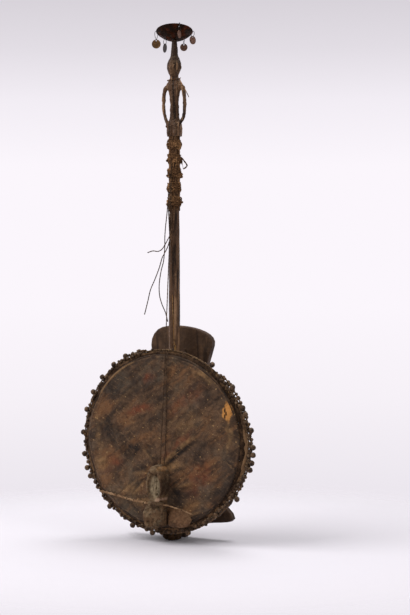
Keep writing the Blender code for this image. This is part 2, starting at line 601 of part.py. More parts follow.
def make_bridge():
    """The carved bridge with its row of string holes, the foot under it and the fold of hide beside it."""
    half_w, half_h = BRIDGE_W / 2, (BRIDGE_TOP_Z - BRIDGE_LOW_Z) / 2
    middle = (BRIDGE_TOP_Z + BRIDGE_LOW_Z) / 2
    oval = [(half_w * math.copysign(abs(math.cos(a)) ** 0.84, math.cos(a)),
             half_h * math.copysign(abs(math.sin(a)) ** 0.84, math.sin(a)))
            for a in (2 * math.pi * i / 32 for i in range(32))]
    mesh = extruded(oval, BRIDGE_PROUD, 0.003)
    mesh.transform(Matrix.Translation((0, SKIN_Y - GAP - BRIDGE_PROUD / 2, middle)))
    o = add("bridge", smooth(mesh), BRIDGE_WOOD)
    front = SKIN_Y - GAP - BRIDGE_PROUD
    for share in (0.58, 0.26, -0.08, -0.44):
        combine(o, rod((0.002, front, middle + share * half_h), 0.0016, 0.016, "Y", 10), "DIFFERENCE")
    waist_z = (FOOT_TOP_Z + GAP + middle) / 2
    waist_size = (BRIDGE_W * 0.7, WAIST_DEPTH, middle - FOOT_TOP_Z - GAP)
    combine(o, box((0, SKIN_Y - GAP - WAIST_DEPTH / 2, waist_z), waist_size), "UNION")

    height = FOOT_TOP_Z - FOOT_LOW_Z
    block = bpy.data.objects.new("block", box((0, 0, 0), (FOOT_W, FOOT_PROUD, height)))
    PARTS.objects.link(block)
    bevel = block.modifiers.new("bevel", "BEVEL")
    bevel.width = 0.005
    bevel.segments = 2
    add("bridge_foot", smooth(as_mesh(block)), BRIDGE_WOOD,
        (FOOT_X, SKIN_Y - GAP - FOOT_PROUD / 2, FOOT_LOW_Z + height / 2))

    fold = soft_block((FOLD_W, 2 * FOLD_PROUD, FOLD_H))
    x = FOOT_X + FOOT_W / 2 + FOLD_W / 2 + GAP
    o = add("skin_fold", smooth(fold), TAN_HIDE, (x, SKIN_Y - GAP, FOOT_LOW_Z + FOLD_H / 2))
    combine(o, box((0, 0.05, 0), (0.2, 0.1, 0.2)), "DIFFERENCE")


def rim_point(angle, inset):
    """A point of the leaning dish's wall, from the dish's foot. inset is its distance from the rim."""
    a = math.radians(angle)
    reach = DISH_R - inset
    return LEAN @ Vector((reach * math.cos(a), reach * math.sin(a), DISH_H - 0.95 * inset))


def make_dish():
    """The rattle dish with its five rim holes, and the nail that holds it on the post."""
    outer = [(NAIL_R + GAP, 0), (0.0055, 0), (0.012, 0.0012), (0.022, 0.0052), (0.031, 0.0112),
             (0.0372, 0.0165), (DISH_R, 0.0186), (DISH_R - 0.0004, DISH_H)]
    inner = [(0.0375, 0.0191), (0.030, 0.0130), (0.021, 0.0072), (0.012, 0.0033), (NAIL_R + GAP, DISH_WALL)]
    mesh = smooth(turned([*outer, *inner], 28, closed=True))
    mesh.transform(LEAN)
    o = add("rattle_dish", mesh, DISH_METAL, (0, NECK_Y, DISH_Z))
    for name, angle, inset, drop, disc_r, turn in PENDANTS:
        combine(o, rod(rim_point(angle, inset), DISH_HOLE_R, 0.012, segments=10), "DIFFERENCE")

    head = DISH_WALL + GAP
    nail = [(0, head + 0.0014), (0.0030, head + 0.0006), (0.0032, head), (NAIL_R, head),
            (NAIL_R, DISH_WALL - NAIL_LENGTH + 0.004), (0, DISH_WALL - NAIL_LENGTH + 0.001)]
    mesh = smooth(turned(nail, 12))
    mesh.transform(LEAN)
    add("dish_nail", mesh, WIRE, (0, NECK_Y, DISH_Z))


def make_link(name, angle, inset, drop, turn):
    """A wire link through a rim hole. Its origin is the hole, its lower eye is turned about the vertical."""
    hole = rim_point(angle, inset)
    above = rim_point(angle, 0).z - hole.z + LINK_CLEAR
    centre, half = (above - drop) / 2, (above + drop) / 2
    points = []
    for i in range(16):
        t = 2 * math.pi * (i + 0.5) / 16
        across = -math.copysign(abs(math.cos(t)) ** 0.5, math.cos(t)) * LINK_W / 2
        up = centre + half * math.copysign(abs(math.sin(t)) ** 0.8, math.sin(t))
        share = min(1, max(0, (-0.0015 - up) / (drop - 0.0035)))
        a = math.radians(angle) + math.radians(turn) * share
        middle = Vector((math.cos(math.radians(angle)), math.sin(math.radians(angle)), 0)) * LINK_W / 2
        points.append(middle + Vector((math.cos(a) * across, math.sin(a) * across, up)))
    at = (hole.x, NECK_Y + hole.y, DISH_Z + hole.z)
    add(f"wire_link_{name}", smooth(tube(points, WIRE_R, 1, True), 60), WIRE, at)


def make_disc(name, angle, inset, drop, radius, turn):
    """A thin disc hanging in a link's lower eye. Its origin is the wire that it swings on."""
    a = math.radians(angle)
    facing = a + math.radians(turn)
    hang = DISC_HOLE_R - WIRE_R - GAP
    mesh = rod((0, 0, -(radius - DISC_EDGE) - hang), radius, DISC_T, "X", 20)
    mesh.transform(Matrix.Rotation(facing, 4, "Z"))
    hole = rim_point(angle, inset)
    out = LINK_W / 2
    at = (hole.x + out * math.cos(a), NECK_Y + hole.y + out * math.sin(a), DISH_Z + hole.z - drop)
    o = add(f"pendant_disc_{name}", smooth(mesh), DISC_METAL, at)
    hole = rod((0, 0, -hang), DISC_HOLE_R, 0.01, "X", 12)
    hole.transform(Matrix.Rotation(facing, 4, "Z"))
    combine(o, hole, "DIFFERENCE")


make_shell()
make_back()
make_skin()
make_rim()
make_neck()
make_tail_binding()
make_bindings()
make_strings()
make_taut_string()
make_bridge()
make_dish()
for pendant, rim_angle, hole_inset, link_drop, disc_radius, eye_turn in PENDANTS:
    make_link(pendant, rim_angle, hole_inset, link_drop, eye_turn)
    make_disc(pendant, rim_angle, hole_inset, link_drop, disc_radius, eye_turn)
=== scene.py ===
import math
import random

import bmesh
import bpy
from mathutils import Matrix, Vector, noise


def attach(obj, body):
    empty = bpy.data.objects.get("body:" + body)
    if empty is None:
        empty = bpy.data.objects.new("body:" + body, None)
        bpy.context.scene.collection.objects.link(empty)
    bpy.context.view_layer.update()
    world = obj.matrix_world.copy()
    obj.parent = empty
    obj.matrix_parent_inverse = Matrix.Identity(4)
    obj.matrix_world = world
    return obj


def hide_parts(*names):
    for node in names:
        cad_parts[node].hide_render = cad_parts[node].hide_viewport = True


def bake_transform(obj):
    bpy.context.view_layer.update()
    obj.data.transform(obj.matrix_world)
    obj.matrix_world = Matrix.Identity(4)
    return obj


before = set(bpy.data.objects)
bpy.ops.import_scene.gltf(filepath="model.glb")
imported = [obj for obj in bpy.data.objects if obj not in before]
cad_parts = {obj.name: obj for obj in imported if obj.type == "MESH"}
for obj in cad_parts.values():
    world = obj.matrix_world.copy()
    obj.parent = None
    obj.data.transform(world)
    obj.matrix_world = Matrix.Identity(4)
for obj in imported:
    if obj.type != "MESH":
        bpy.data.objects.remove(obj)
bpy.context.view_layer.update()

scene = bpy.context.scene
print("frame loaded:", len(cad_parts), "nodes")

place = {                      # shared places in metres, the same as in the frame
    "skinY": -0.100,           # face of the skin
    "neckY": -0.043,           # axis of the neck
    "hoopY": -0.086,           # middle of the hoop
    "drumZ": 0.214,            # height of the skin's centre
}
cameraView = {
    "at": (1.534, -2.852, 0.550),
    "aim": (0.057, -0.0135, 0.490),
    "lens": 89.0,
}

# camera; the cords were measured against what it sees
camera = bpy.data.objects.new("camera", bpy.data.cameras.new("camera"))
camera.data.lens = cameraView["lens"]
camera.data.sensor_width = 36.0
camera.location = cameraView["at"]
lookAlong = Vector(cameraView["aim"]) - Vector(cameraView["at"])
camera.rotation_mode = "QUATERNION"
camera.rotation_quaternion = lookAlong.to_track_quat("-Z", "Y")
scene.collection.objects.link(camera)
scene.camera = camera


def tint(r, g, b):             # a colour as it looks on screen, 0 to 255, made linear
    return tuple(((c / 255 + 0.055) / 1.055) ** 2.4 for c in (r, g, b)) + (1.0,)


def addNode(tree, kind, values=None, **settings):
    node = tree.nodes.new("ShaderNode" + kind)
    for key, value in settings.items():
        setattr(node, key, value)
    for key, value in (values or {}).items():
        if isinstance(value, bpy.types.NodeSocket):
            tree.links.new(value, node.inputs[key])
        else:
            node.inputs[key].default_value = value
    return node


# ---- node groups that several finishes share

def newGroup(name, inputs, outputs):
    tree = bpy.data.node_groups.new(name, "ShaderNodeTree")
    for label, kind, value in inputs:
        socket = tree.interface.new_socket(label, in_out="INPUT", socket_type="NodeSocket" + kind)
        socket.default_value = value
    for label in outputs:
        tree.interface.new_socket(label, in_out="OUTPUT", socket_type="NodeSocketFloat")
    return tree, tree.nodes.new("NodeGroupInput"), tree.nodes.new("NodeGroupOutput")


def buildMottle():             # cloudy patches
    tree, given, out = newGroup("mottle", [
        ("Vector", "Vector", (0, 0, 0)), ("Scale", "Float", 30.0), ("Detail", "Float", 5.0),
        ("Low", "Float", 0.45), ("High", "Float", 0.62)], ["Mask"])
    cloud = addNode(tree, "TexNoise", {"Vector": given.outputs["Vector"], "Scale": given.outputs["Scale"],
                                       "Detail": given.outputs["Detail"], "Roughness": 0.62})
    cut = addNode(tree, "MapRange", {"Value": cloud.outputs["Fac"], "From Min": given.outputs["Low"],
                                     "From Max": given.outputs["High"]}, interpolation_type="SMOOTHSTEP")
    tree.links.new(cut.outputs["Result"], out.inputs["Mask"])
    return tree


def buildStreaks():            # grain or scratches drawn out along one axis
    tree, given, out = newGroup("streaks", [
        ("Vector", "Vector", (0, 0, 0)), ("Stretch", "Vector", (120, 120, 8)), ("Low", "Float", 0.42),
        ("High", "Float", 0.60)], ["Mask", "Height"])
    drawn = addNode(tree, "VectorMath", {0: given.outputs["Vector"], 1: given.outputs["Stretch"]},
                    operation="MULTIPLY")
    lines = addNode(tree, "TexNoise", {"Vector": drawn.outputs["Vector"], "Scale": 1.0, "Detail": 6.0,
                                       "Roughness": 0.6, "Distortion": 0.25})
    cut = addNode(tree, "MapRange", {"Value": lines.outputs["Fac"], "From Min": given.outputs["Low"],
                                     "From Max": given.outputs["High"]}, interpolation_type="SMOOTHSTEP")
    tree.links.new(cut.outputs["Result"], out.inputs["Mask"])
    tree.links.new(lines.outputs["Fac"], out.inputs["Height"])
    return tree


def buildStain():              # one patch with a ragged edge at a given place
    tree, given, out = newGroup("stain", [
        ("Vector", "Vector", (0, 0, 0)), ("Centre", "Vector", (0, 0, 0)), ("Size", "Vector", (0.02, 1, 0.02)),
        ("Edge", "Float", 0.35), ("Wobble", "Float", 0.02), ("Wobble Scale", "Float", 60.0)], ["Mask"])
    ragged = addNode(tree, "TexNoise", {"Vector": given.outputs["Vector"],
                                        "Scale": given.outputs["Wobble Scale"], "Detail": 5.0})
    middle = addNode(tree, "VectorMath", {0: ragged.outputs["Color"], 1: (0.5, 0.5, 0.5)},
                     operation="SUBTRACT")
    shift = addNode(tree, "VectorMath", {0: middle.outputs["Vector"], "Scale": given.outputs["Wobble"]},
                    operation="SCALE")
    moved = addNode(tree, "VectorMath", {0: given.outputs["Vector"], 1: shift.outputs["Vector"]},
                    operation="ADD")
    local = addNode(tree, "VectorMath", {0: moved.outputs["Vector"], 1: given.outputs["Centre"]},
                    operation="SUBTRACT")
    scaled = addNode(tree, "VectorMath", {0: local.outputs["Vector"], 1: given.outputs["Size"]},
                     operation="DIVIDE")
    far = addNode(tree, "VectorMath", {0: scaled.outputs["Vector"]}, operation="LENGTH")
    inner = addNode(tree, "Math", {0: 1.0, 1: given.outputs["Edge"]}, operation="SUBTRACT")
    cut = addNode(tree, "MapRange", {"Value": far.outputs["Value"], "From Min": inner.outputs["Value"],
                                     "From Max": 1.0, "To Min": 1.0, "To Max": 0.0},
                  interpolation_type="SMOOTHSTEP")
    tree.links.new(cut.outputs["Result"], out.inputs["Mask"])
    return tree


def buildCrackle():            # fine cracks and hide grain
    tree, given, out = newGroup("crackle", [
        ("Vector", "Vector", (0, 0, 0)), ("Scale", "Float", 120.0), ("Width", "Float", 0.08)],
        ["Mask", "Height"])
    bend = addNode(tree, "TexNoise", {"Vector": given.outputs["Vector"], "Scale": 25.0, "Detail": 3.0})
    shift = addNode(tree, "VectorMath", {0: bend.outputs["Color"], "Scale": 0.02}, operation="SCALE")
    moved = addNode(tree, "VectorMath", {0: given.outputs["Vector"], 1: shift.outputs["Vector"]},
                    operation="ADD")
    cells = addNode(tree, "TexVoronoi", {"Vector": moved.outputs["Vector"], "Scale": given.outputs["Scale"]},
                    feature="DISTANCE_TO_EDGE")
    cut = addNode(tree, "MapRange", {"Value": cells.outputs["Distance"], "From Min": 0.0,
                                     "From Max": given.outputs["Width"], "To Min": 1.0, "To Max": 0.0})
    tree.links.new(cut.outputs["Result"], out.inputs["Mask"])
    tree.links.new(cells.outputs["Distance"], out.inputs["Height"])
    return tree


def buildDust():               # pale dust that settles on what faces up
    tree, given, out = newGroup("dust", [
        ("Vector", "Vector", (0, 0, 0)), ("Amount", "Float", 0.5), ("Scale", "Float", 90.0)], ["Mask"])
    surface = addNode(tree, "NewGeometry")
    split = addNode(tree, "SeparateXYZ", {"Vector": surface.outputs["Normal"]})
    up = addNode(tree, "MapRange", {"Value": split.outputs["Z"], "From Min": 0.1, "From Max": 0.95})
    cloud = addNode(tree, "TexNoise", {"Vector": given.outputs["Vector"], "Scale": given.outputs["Scale"],
                                       "Detail": 4.0})
    spotty = addNode(tree, "MapRange", {"Value": cloud.outputs["Fac"], "From Min": 0.38, "From Max": 0.62})
    both = addNode(tree, "Math", {0: up.outputs["Result"], 1: spotty.outputs["Result"]}, operation="MULTIPLY")
    scaled = addNode(tree, "Math", {0: both.outputs["Value"], 1: given.outputs["Amount"]},
                     operation="MULTIPLY")
    tree.links.new(scaled.outputs["Value"], out.inputs["Mask"])
    return tree


groups = {"mottle": buildMottle(), "streaks": buildStreaks(), "stain": buildStain(),
          "crackle": buildCrackle(), "dust": buildDust()}
print("node groups built")


class Finish:                  # one Principled material, painted in layers
    def __init__(self, name, base, roughness=0.6, metallic=0.0, specular=0.4):
        self.material = bpy.data.materials.new(name)
        self.material.use_nodes = True
        self.tree = self.material.node_tree
        self.shader = self.tree.nodes["Principled BSDF"]
        self.shader.inputs["Roughness"].default_value = roughness
        self.shader.inputs["Metallic"].default_value = metallic
        self.shader.inputs["Specular IOR Level"].default_value = specular
        self.shader.inputs["Base Color"].default_value = tint(*base)
        self.material.diffuse_color = tint(*base)
        self.where = addNode(self.tree, "TexCoord").outputs["Object"]
        self.colour = None
        self.base = tint(*base)
        self.normal = None

    def mask(self, kind, output="Mask", turned=None, **values):
        node = self.tree.nodes.new("ShaderNodeGroup")
        node.node_tree = groups[kind]
        where = self.where
        if turned is not None:  # degrees about the way the skin faces
            spin = addNode(self.tree, "VectorRotate", {"Vector": where, "Angle": math.radians(turned)},
                           rotation_type="Y_AXIS")
            where = spin.outputs["Vector"]
        self.tree.links.new(where, node.inputs["Vector"])
        for key, value in values.items():
            node.inputs[key.replace("_", " ")].default_value = value
        return node.outputs[output]

    def painted(self, name):   # a tone that the mesh carries
        return addNode(self.tree, "Attribute", attribute_name=name).outputs["Fac"]

    def times(self, a, b):
        return addNode(self.tree, "Math", {0: a, 1: b}, operation="MULTIPLY").outputs["Value"]

    def paint(self, mask, colour, amount=1.0):
        if amount < 1.0:
            mask = self.times(mask, amount)
        mix = addNode(self.tree, "Mix", {"Factor": mask}, data_type="RGBA")
        under, over, result = mix.inputs[6], mix.inputs[7], mix.outputs[2]
        over.default_value = tint(*colour)
        if self.colour is None:
            under.default_value = self.base
        else:
            self.tree.links.new(self.colour, under)
        self.colour = result
        self.tree.links.new(result, self.shader.inputs["Base Color"])

    def cloud(self, scale, detail, low, high, colour, amount=1.0):
        self.paint(self.mask("mottle", Scale=scale, Detail=detail, Low=low, High=high), colour, amount)

    def grain(self, stretch, low, high, colour, amount=1.0, turned=None):
        self.paint(self.mask("streaks", turned=turned, Stretch=stretch, Low=low, High=high), colour, amount)

    def roughCloud(self, scale, detail, low, high, smooth, dull):
        self.rough(self.mask("mottle", Scale=scale, Detail=detail, Low=low, High=high), smooth, dull)

    def bumpCloud(self, scale, detail, low, high, distance):
        self.bump(self.mask("mottle", Scale=scale, Detail=detail, Low=low, High=high), distance)

    def rough(self, mask, low, high):
        span = addNode(self.tree, "MapRange", {"Value": mask, "To Min": low, "To Max": high})
        self.tree.links.new(span.outputs["Result"], self.shader.inputs["Roughness"])

    def bump(self, height, distance, strength=1.0):
        node = addNode(self.tree, "Bump", {"Height": height, "Distance": distance, "Strength": strength})
        if self.normal is not None:
            self.tree.links.new(self.normal, node.inputs["Normal"])
        self.normal = node.outputs["Normal"]
        self.tree.links.new(self.normal, self.shader.inputs["Normal"])


skinPlace = {                  # places on the skin's face: across and height, metres
    "barePatch": (0.153, 0.280), "tear": (0.1500, 0.2770), "notch": (0.167, 0.166),
}


def makeSkinFinish():
    f = Finish("drumHide", (100, 74, 53), 0.50, specular=0.12)
    f.cloud(5.5, 4.0, 0.42, 0.60, (64, 51, 42), 0.90)
    f.grain((9, 20, 32), 0.46, 0.62, (124, 84, 52), 0.70, turned=38)
    f.grain((13, 20, 52), 0.47, 0.64, (46, 35, 28), 0.80, turned=38)
    f.cloud(17.0, 8.0, 0.48, 0.68, (90, 78, 64), 0.60)
    f.cloud(24.0, 8.0, 0.50, 0.72, (40, 30, 23), 0.80)
    # the mesh's tones: red is stain; pale is stain and painted highlight on crease ridges and the lip; dark
    # is stain and painted shade below creases, at the edge, in the notch and in the bridge's cast shadow
    f.paint(f.painted("red"), (112, 56, 34), 0.90)
    f.paint(f.painted("pale"), (150, 114, 76), 0.95)
    f.paint(f.painted("dark"), (36, 28, 23), 1.0)
    f.grain((60, 20, 200), 0.52, 0.72, (140, 108, 78), 0.45, turned=-30)
    f.cloud(58.0, 7.0, 0.48, 0.72, (38, 27, 20), 0.60)
    f.paint(f.mask("crackle", Scale=48.0, Width=0.04), (38, 27, 19), 0.40)
    x, z = skinPlace["barePatch"]
    f.paint(f.mask("stain", Centre=(x, -0.1, z), Size=(0.011, 1, 0.022), Edge=0.35, Wobble=0.022,
                   Wobble_Scale=60.0), (196, 134, 70), 0.95)
    x, z = skinPlace["tear"]
    for lift in (-0.006, 0.0, 0.006):
        f.paint(f.mask("stain", Centre=(x - abs(lift) * 0.5, -0.1, z + lift), Size=(0.0022, 1, 0.0055),
                       Edge=0.4, Wobble=0.005, Wobble_Scale=120.0), (34, 19, 10), 0.9)
    f.cloud(170.0, 3.0, 0.645, 0.70, (176, 138, 92), 0.75)
    f.roughCloud(20.0, 4.0, 0.35, 0.7, 0.40, 0.66)
    f.bumpCloud(60.0, 8.0, 0.2, 0.8, 0.0046)
    f.bump(f.mask("crackle", "Height", Scale=240.0, Width=0.2), 0.0004)
    return f.material


def makeWoodFinish(name, base, light, dark, roughLow=0.32, roughHigh=0.58, along=(90, 90, 7)):
    f = Finish(name, base, 0.45, specular=0.12)
    f.cloud(35.0, 5.0, 0.45, 0.65, light, 0.75)
    f.grain(along, 0.50, 0.64, dark, 0.85)
    f.cloud(140.0, 3.0, 0.60, 0.70, light, 0.5)
    f.cloud(14.0, 3.0, 0.52, 0.68, dark, 0.6)
    lowDown = f.mask("stain", Centre=(0, 0.04, 0.02), Size=(0.20, 0.30, 0.11), Edge=0.5)
    f.paint(lowDown, dark, 0.75)
    f.roughCloud(28.0, 4.0, 0.35, 0.65, roughLow, roughHigh)
    f.bump(f.mask("streaks", "Height", Stretch=along), 0.0012)
    f.bumpCloud(70.0, 5.0, 0.2, 0.8, 0.0009)
    return f.material


def makeNeckFinish():
    f = Finish("oiledNeckWood", (84, 60, 43), 0.38, specular=0.10)
    f.grain((85, 85, 6), 0.46, 0.56, (30, 18, 10), 0.95)
    # pale vertical streaks: painted highlights standing in for the oiled wood's gloss
    f.grain((140, 140, 9), 0.52, 0.62, (156, 120, 90), 0.80)
    f.grain((60, 60, 12), 0.50, 0.66, (118, 88, 64), 0.60)
    f.cloud(55.0, 5.0, 0.54, 0.68, (30, 19, 12), 0.50)
    f.paint(f.mask("stain", Centre=(0, -0.043, 1.035), Size=(0.1, 0.1, 0.040), Edge=0.5, Wobble=0.01,
                   Wobble_Scale=60.0), (30, 19, 11), 0.80)
    f.paint(f.mask("dust", Amount=0.6, Scale=90.0), (150, 124, 98))
    f.roughCloud(50.0, 4.0, 0.35, 0.65, 0.26, 0.52)
    f.bump(f.mask("streaks", "Height", Stretch=(150, 150, 6)), 0.0018)
    f.bumpCloud(120.0, 5.0, 0.2, 0.8, 0.0012)
    return f.material


def makeCordFinish(name, base, light, dark, roughness=0.8):
    f = Finish(name, base, roughness, specular=0.07)
    f.cloud(60.0, 4.0, 0.48, 0.62, light, 0.9)
    f.cloud(210.0, 3.0, 0.52, 0.62, dark, 0.85)
    f.paint(f.mask("dust", Amount=0.45, Scale=200.0), light)
    f.bumpCloud(600.0, 3.0, 0.3, 0.7, 0.0005)
    return f.material


def makeSeedFinish():
    f = Finish("drySeeds", (60, 43, 30), 0.42, specular=0.14)
    f.cloud(55.0, 3.0, 0.45, 0.60, (98, 74, 53), 0.9)
    f.cloud(120.0, 4.0, 0.52, 0.62, (24, 16, 11), 0.9)
    f.cloud(190.0, 3.0, 0.60, 0.68, (128, 98, 66), 0.7)
    f.paint(f.mask("dust", Amount=0.55, Scale=160.0), (146, 124, 100))
    f.roughCloud(80.0, 3.0, 0.4, 0.6, 0.3, 0.6)
    f.bumpCloud(380.0, 4.0, 0.2, 0.8, 0.0009)
    return f.material


def makeBridgeFinish():
    f = Finish("bridgeHide", (96, 72, 51), 0.6, specular=0.08)
    f.cloud(50.0, 5.0, 0.44, 0.60, (116, 94, 70), 0.8)
    f.cloud(24.0, 4.0, 0.50, 0.64, (58, 40, 27), 0.85)
    f.cloud(95.0, 5.0, 0.52, 0.64, (44, 30, 20), 0.60)
    # painted shade on the bridge's right side wall, turned away from the key light
    f.paint(f.mask("stain", Centre=(0.026, -0.112, 0.1200), Size=(0.0150, 0.03, 0.040), Edge=0.5,
                   Wobble=0.006, Wobble_Scale=60.0), (44, 31, 22), 0.80)
    f.paint(f.mask("stain", Centre=(0.001, -0.132, 0.1210), Size=(0.0150, 1, 0.0280), Edge=0.4, Wobble=0.008,
                   Wobble_Scale=80.0), (142, 126, 100), 0.80)
    # ochre hide colour brightened into a painted highlight on the bridge's upper right shoulder
    f.paint(f.mask("stain", Centre=(0.012, -0.118, 0.1600), Size=(0.009, 0.03, 0.008), Edge=0.6, Wobble=0.006,
                   Wobble_Scale=90.0), (170, 124, 78), 0.80)
    f.cloud(75.0, 5.0, 0.54, 0.64, (72, 60, 46), 0.65)
    f.paint(f.mask("stain", Centre=(0.009, -0.132, 0.0960), Size=(0.0085, 1, 0.0050), Edge=0.5, Wobble=0.005,
                   Wobble_Scale=120.0), (156, 126, 104), 0.85)
    f.grain((160, 160, 20), 0.54, 0.66, (40, 28, 20), 0.6)
    f.paint(f.mask("dust", Amount=0.5, Scale=120.0), (150, 132, 108))
    f.bumpCloud(150.0, 6.0, 0.2, 0.8, 0.0014)
    return f.material


def makeFoldFinish():
    f = Finish("foldedHide", (106, 77, 54), 0.55, specular=0.10)
    f.cloud(40.0, 5.0, 0.46, 0.62, (126, 96, 70), 0.8)
    f.cloud(22.0, 4.0, 0.55, 0.66, (52, 36, 25), 0.8)
    f.cloud(90.0, 4.0, 0.60, 0.70, (140, 110, 82), 0.6)
    f.paint(f.mask("crackle", Scale=90.0, Width=0.05), (38, 26, 18), 0.5)
    f.bumpCloud(120.0, 6.0, 0.2, 0.8, 0.0014)
    return f.material


def makeHoopFinish():
    f = Finish("wrappedHide", (70, 51, 36), 0.6, specular=0.10)
    f.cloud(30.0, 5.0, 0.46, 0.60, (114, 86, 60), 0.85)
    f.cloud(90.0, 4.0, 0.50, 0.62, (26, 17, 11), 0.85)
    f.paint(f.mask("stain", Centre=(0.190, -0.090, 0.188), Size=(0.022, 1, 0.066), Edge=0.4, Wobble=0.02,
                   Wobble_Scale=50.0), (128, 98, 70), 0.85)
    f.cloud(55.0, 3.0, 0.62, 0.70, (130, 98, 54), 0.6)
    f.bumpCloud(140.0, 6.0, 0.2, 0.8, 0.0016)
    return f.material


def makeRustFinish():
    f = Finish("rustedDish", (30, 16, 8), 0.60, specular=0.05)
    f.cloud(70.0, 5.0, 0.48, 0.62, (78, 34, 14), 0.90)
    f.cloud(140.0, 4.0, 0.55, 0.66, (16, 9, 7), 0.85)
    f.cloud(110.0, 3.0, 0.62, 0.70, (116, 80, 46), 0.6)
    f.roughCloud(90.0, 4.0, 0.4, 0.6, 0.40, 0.75)
    f.bumpCloud(200.0, 6.0, 0.2, 0.8, 0.0009)
    return f.material


def makeMetalFinish(name, base, light, dark, metallic):
    f = Finish(name, base, 0.5, metallic=metallic, specular=0.15)
    f.cloud(160.0, 4.0, 0.46, 0.60, light, 0.8)
    f.cloud(330.0, 4.0, 0.55, 0.66, dark, 0.75)
    f.roughCloud(220.0, 3.0, 0.4, 0.6, 0.35, 0.62)
    f.bumpCloud(500.0, 4.0, 0.2, 0.8, 0.0004)
    return f.material


finish = {
    "skin": makeSkinFinish(),
    "neck": makeNeckFinish(),
    "shell": makeWoodFinish("bowlWood", (50, 37, 28), (74, 56, 42), (30, 21, 15), along=(60, 60, 14)),
    "back": makeWoodFinish("wornBackWood", (76, 56, 42), (102, 76, 56), (46, 33, 24), 0.40, 0.62,
                           along=(70, 70, 9)),
    "peg": makeWoodFinish("pegWood", (74, 58, 44), (96, 76, 58), (44, 32, 24), along=(200, 20, 200)),
    "cord": makeCordFinish("plaitedCord", (100, 71, 48), (164, 122, 84), (26, 15, 8)),
    "paleCord": makeCordFinish("paleTwistedCord", (104, 80, 58), (140, 114, 86), (52, 36, 24)),
    "stayCord": makeCordFinish("brownTwistedCord", (128, 98, 72), (164, 132, 100), (40, 26, 18)),
    "string": makeCordFinish("oldString", (66, 49, 36), (98, 76, 58), (38, 26, 18), 0.6),
    "straw": makeCordFinish("paleStraw", (150, 112, 70), (176, 138, 92), (96, 62, 34), 0.7),
    "tail": makeCordFinish("darkTailCord", (48, 34, 23), (84, 62, 42), (22, 13, 8)),
    "groove": makeCordFinish("shadedHide", (48, 34, 24), (80, 59, 42), (26, 17, 11), 0.8),
    "seed": makeSeedFinish(),
    "bridge": makeBridgeFinish(),
    "fold": makeFoldFinish(),
    "hoop": makeHoopFinish(),
    "dish": makeRustFinish(),
    "wire": makeMetalFinish("ironWire", (30, 23, 19), (52, 40, 32), (16, 11, 8), 0.2),
    "discOlive": makeMetalFinish("oliveDisc", (84, 58, 32), (122, 86, 44), (34, 20, 10), 0.15),
    "discTan": makeMetalFinish("tanDisc", (104, 74, 60), (134, 100, 84), (60, 38, 28), 0.15),
    "discDark": makeMetalFinish("darkDisc", (32, 25, 23), (54, 44, 40), (18, 13, 12), 0.15),
}
print("finishes built:", len(finish))


# ---- mesh tools

def behind(x, depth, z):       # a point by its depth behind the face of the skin
    return Vector((x, place["skinY"] + depth, z))


def smoothPath(points, step):
    p = [Vector(q) for q in points]
    p = [2 * p[0] - p[1], *p, 2 * p[-1] - p[-2]]
    out = []
    for a, b, c, d in zip(p, p[1:], p[2:], p[3:]):
        n = max(1, round((c - b).length / step))
        for i in range(n):
            t = i / n
            out.append(0.5 * (2 * b + (c - a) * t + (2 * a - 5 * b + 4 * c - d) * t * t
                              + (3 * b - a - 3 * c + d) * t ** 3))
    return [*out, p[-2]]


def sweep(bm, path, radius, sides=8, closed=False, lobes=0, depth=0.35, pitch=0.01, radii=None, flat=1.0):
    # a tube along the path; lobes and pitch give it the twist of laid cord
    pts = [Vector(p) for p in path]
    n = len(pts)
    tangents = []
    for i in range(n):
        a = pts[(i - 1) % n] if closed or i > 0 else pts[i]
        b = pts[(i + 1) % n] if closed or i < n - 1 else pts[i]
        tangents.append((b - a).normalized())
    normals = [tangents[0].orthogonal().normalized()]
    for a, b in zip(tangents, tangents[1:]):
        nextNormal = a.rotation_difference(b) @ normals[-1]
        normals.append((nextNormal - b * nextNormal.dot(b)).normalized())
    run = [0.0]
    for a, b in zip(pts, pts[1:]):
        run.append(run[-1] + (b - a).length)
    total = run[-1] + ((pts[0] - pts[-1]).length if closed else 0)
    drift = 0.0
    twistPerMetre = 2 * math.pi / pitch if lobes else 0.0
    if closed:
        last = tangents[-1].rotation_difference(tangents[0]) @ normals[-1]
        drift = math.atan2(tangents[0].dot(last.cross(normals[0])), last.dot(normals[0]))
        if lobes:
            twistPerMetre = 2 * math.pi * round(total / pitch) / total
    rings = []
    for i, p in enumerate(pts):
        across = tangents[i].cross(normals[i])
        turned = drift * run[i] / total
        size = radius * (radii[i] if radii else 1.0)
        ring = []
        for k in range(sides):
            a = 2 * math.pi * k / sides
            laid = depth * (0.5 + 0.5 * math.cos(lobes * a - twistPerMetre * run[i])) if lobes else 0.0
            r = size * (1 - laid)
            c, s = math.cos(a + turned), math.sin(a + turned)
            ring.append(bm.verts.new(p + normals[i] * (c * r) + across * (s * r * flat)))
        rings.append(ring)
    pairs = list(zip(rings, rings[1:])) + ([(rings[-1], rings[0])] if closed else [])
    for low, high in pairs:
        for k in range(sides):
            j = (k + 1) % sides
            bm.faces.new((low[k], low[j], high[j], high[k]))
    if not closed:
        bm.faces.new(list(reversed(rings[0])))
        bm.faces.new(rings[-1])


def lump(bm, centre, size, seed=0, rough=0.15, level=3, turn=None, grain=1.6):
    made = bmesh.ops.create_icosphere(bm, subdivisions=level, radius=1.0)["verts"]
    turn = turn or Matrix.Identity(3)
    for v in made:
        d = v.co.normalized()
        swell = 1 + rough * noise.noise(d * grain + Vector((seed * 7.3, seed * 3.1, seed)))
        v.co = Vector(centre) + turn @ Vector([d[k] * size[k] * swell for k in range(3)])
    return made


def slab(bm, centre, size, turn=None):
    made = bmesh.ops.create_cube(bm, size=1.0)["verts"]
    turn = turn or Matrix.Identity(3)
    for v in made:
        v.co = Vector(centre) + turn @ Vector((v.co.x * size[0], v.co.y * size[1], v.co.z * size[2]))


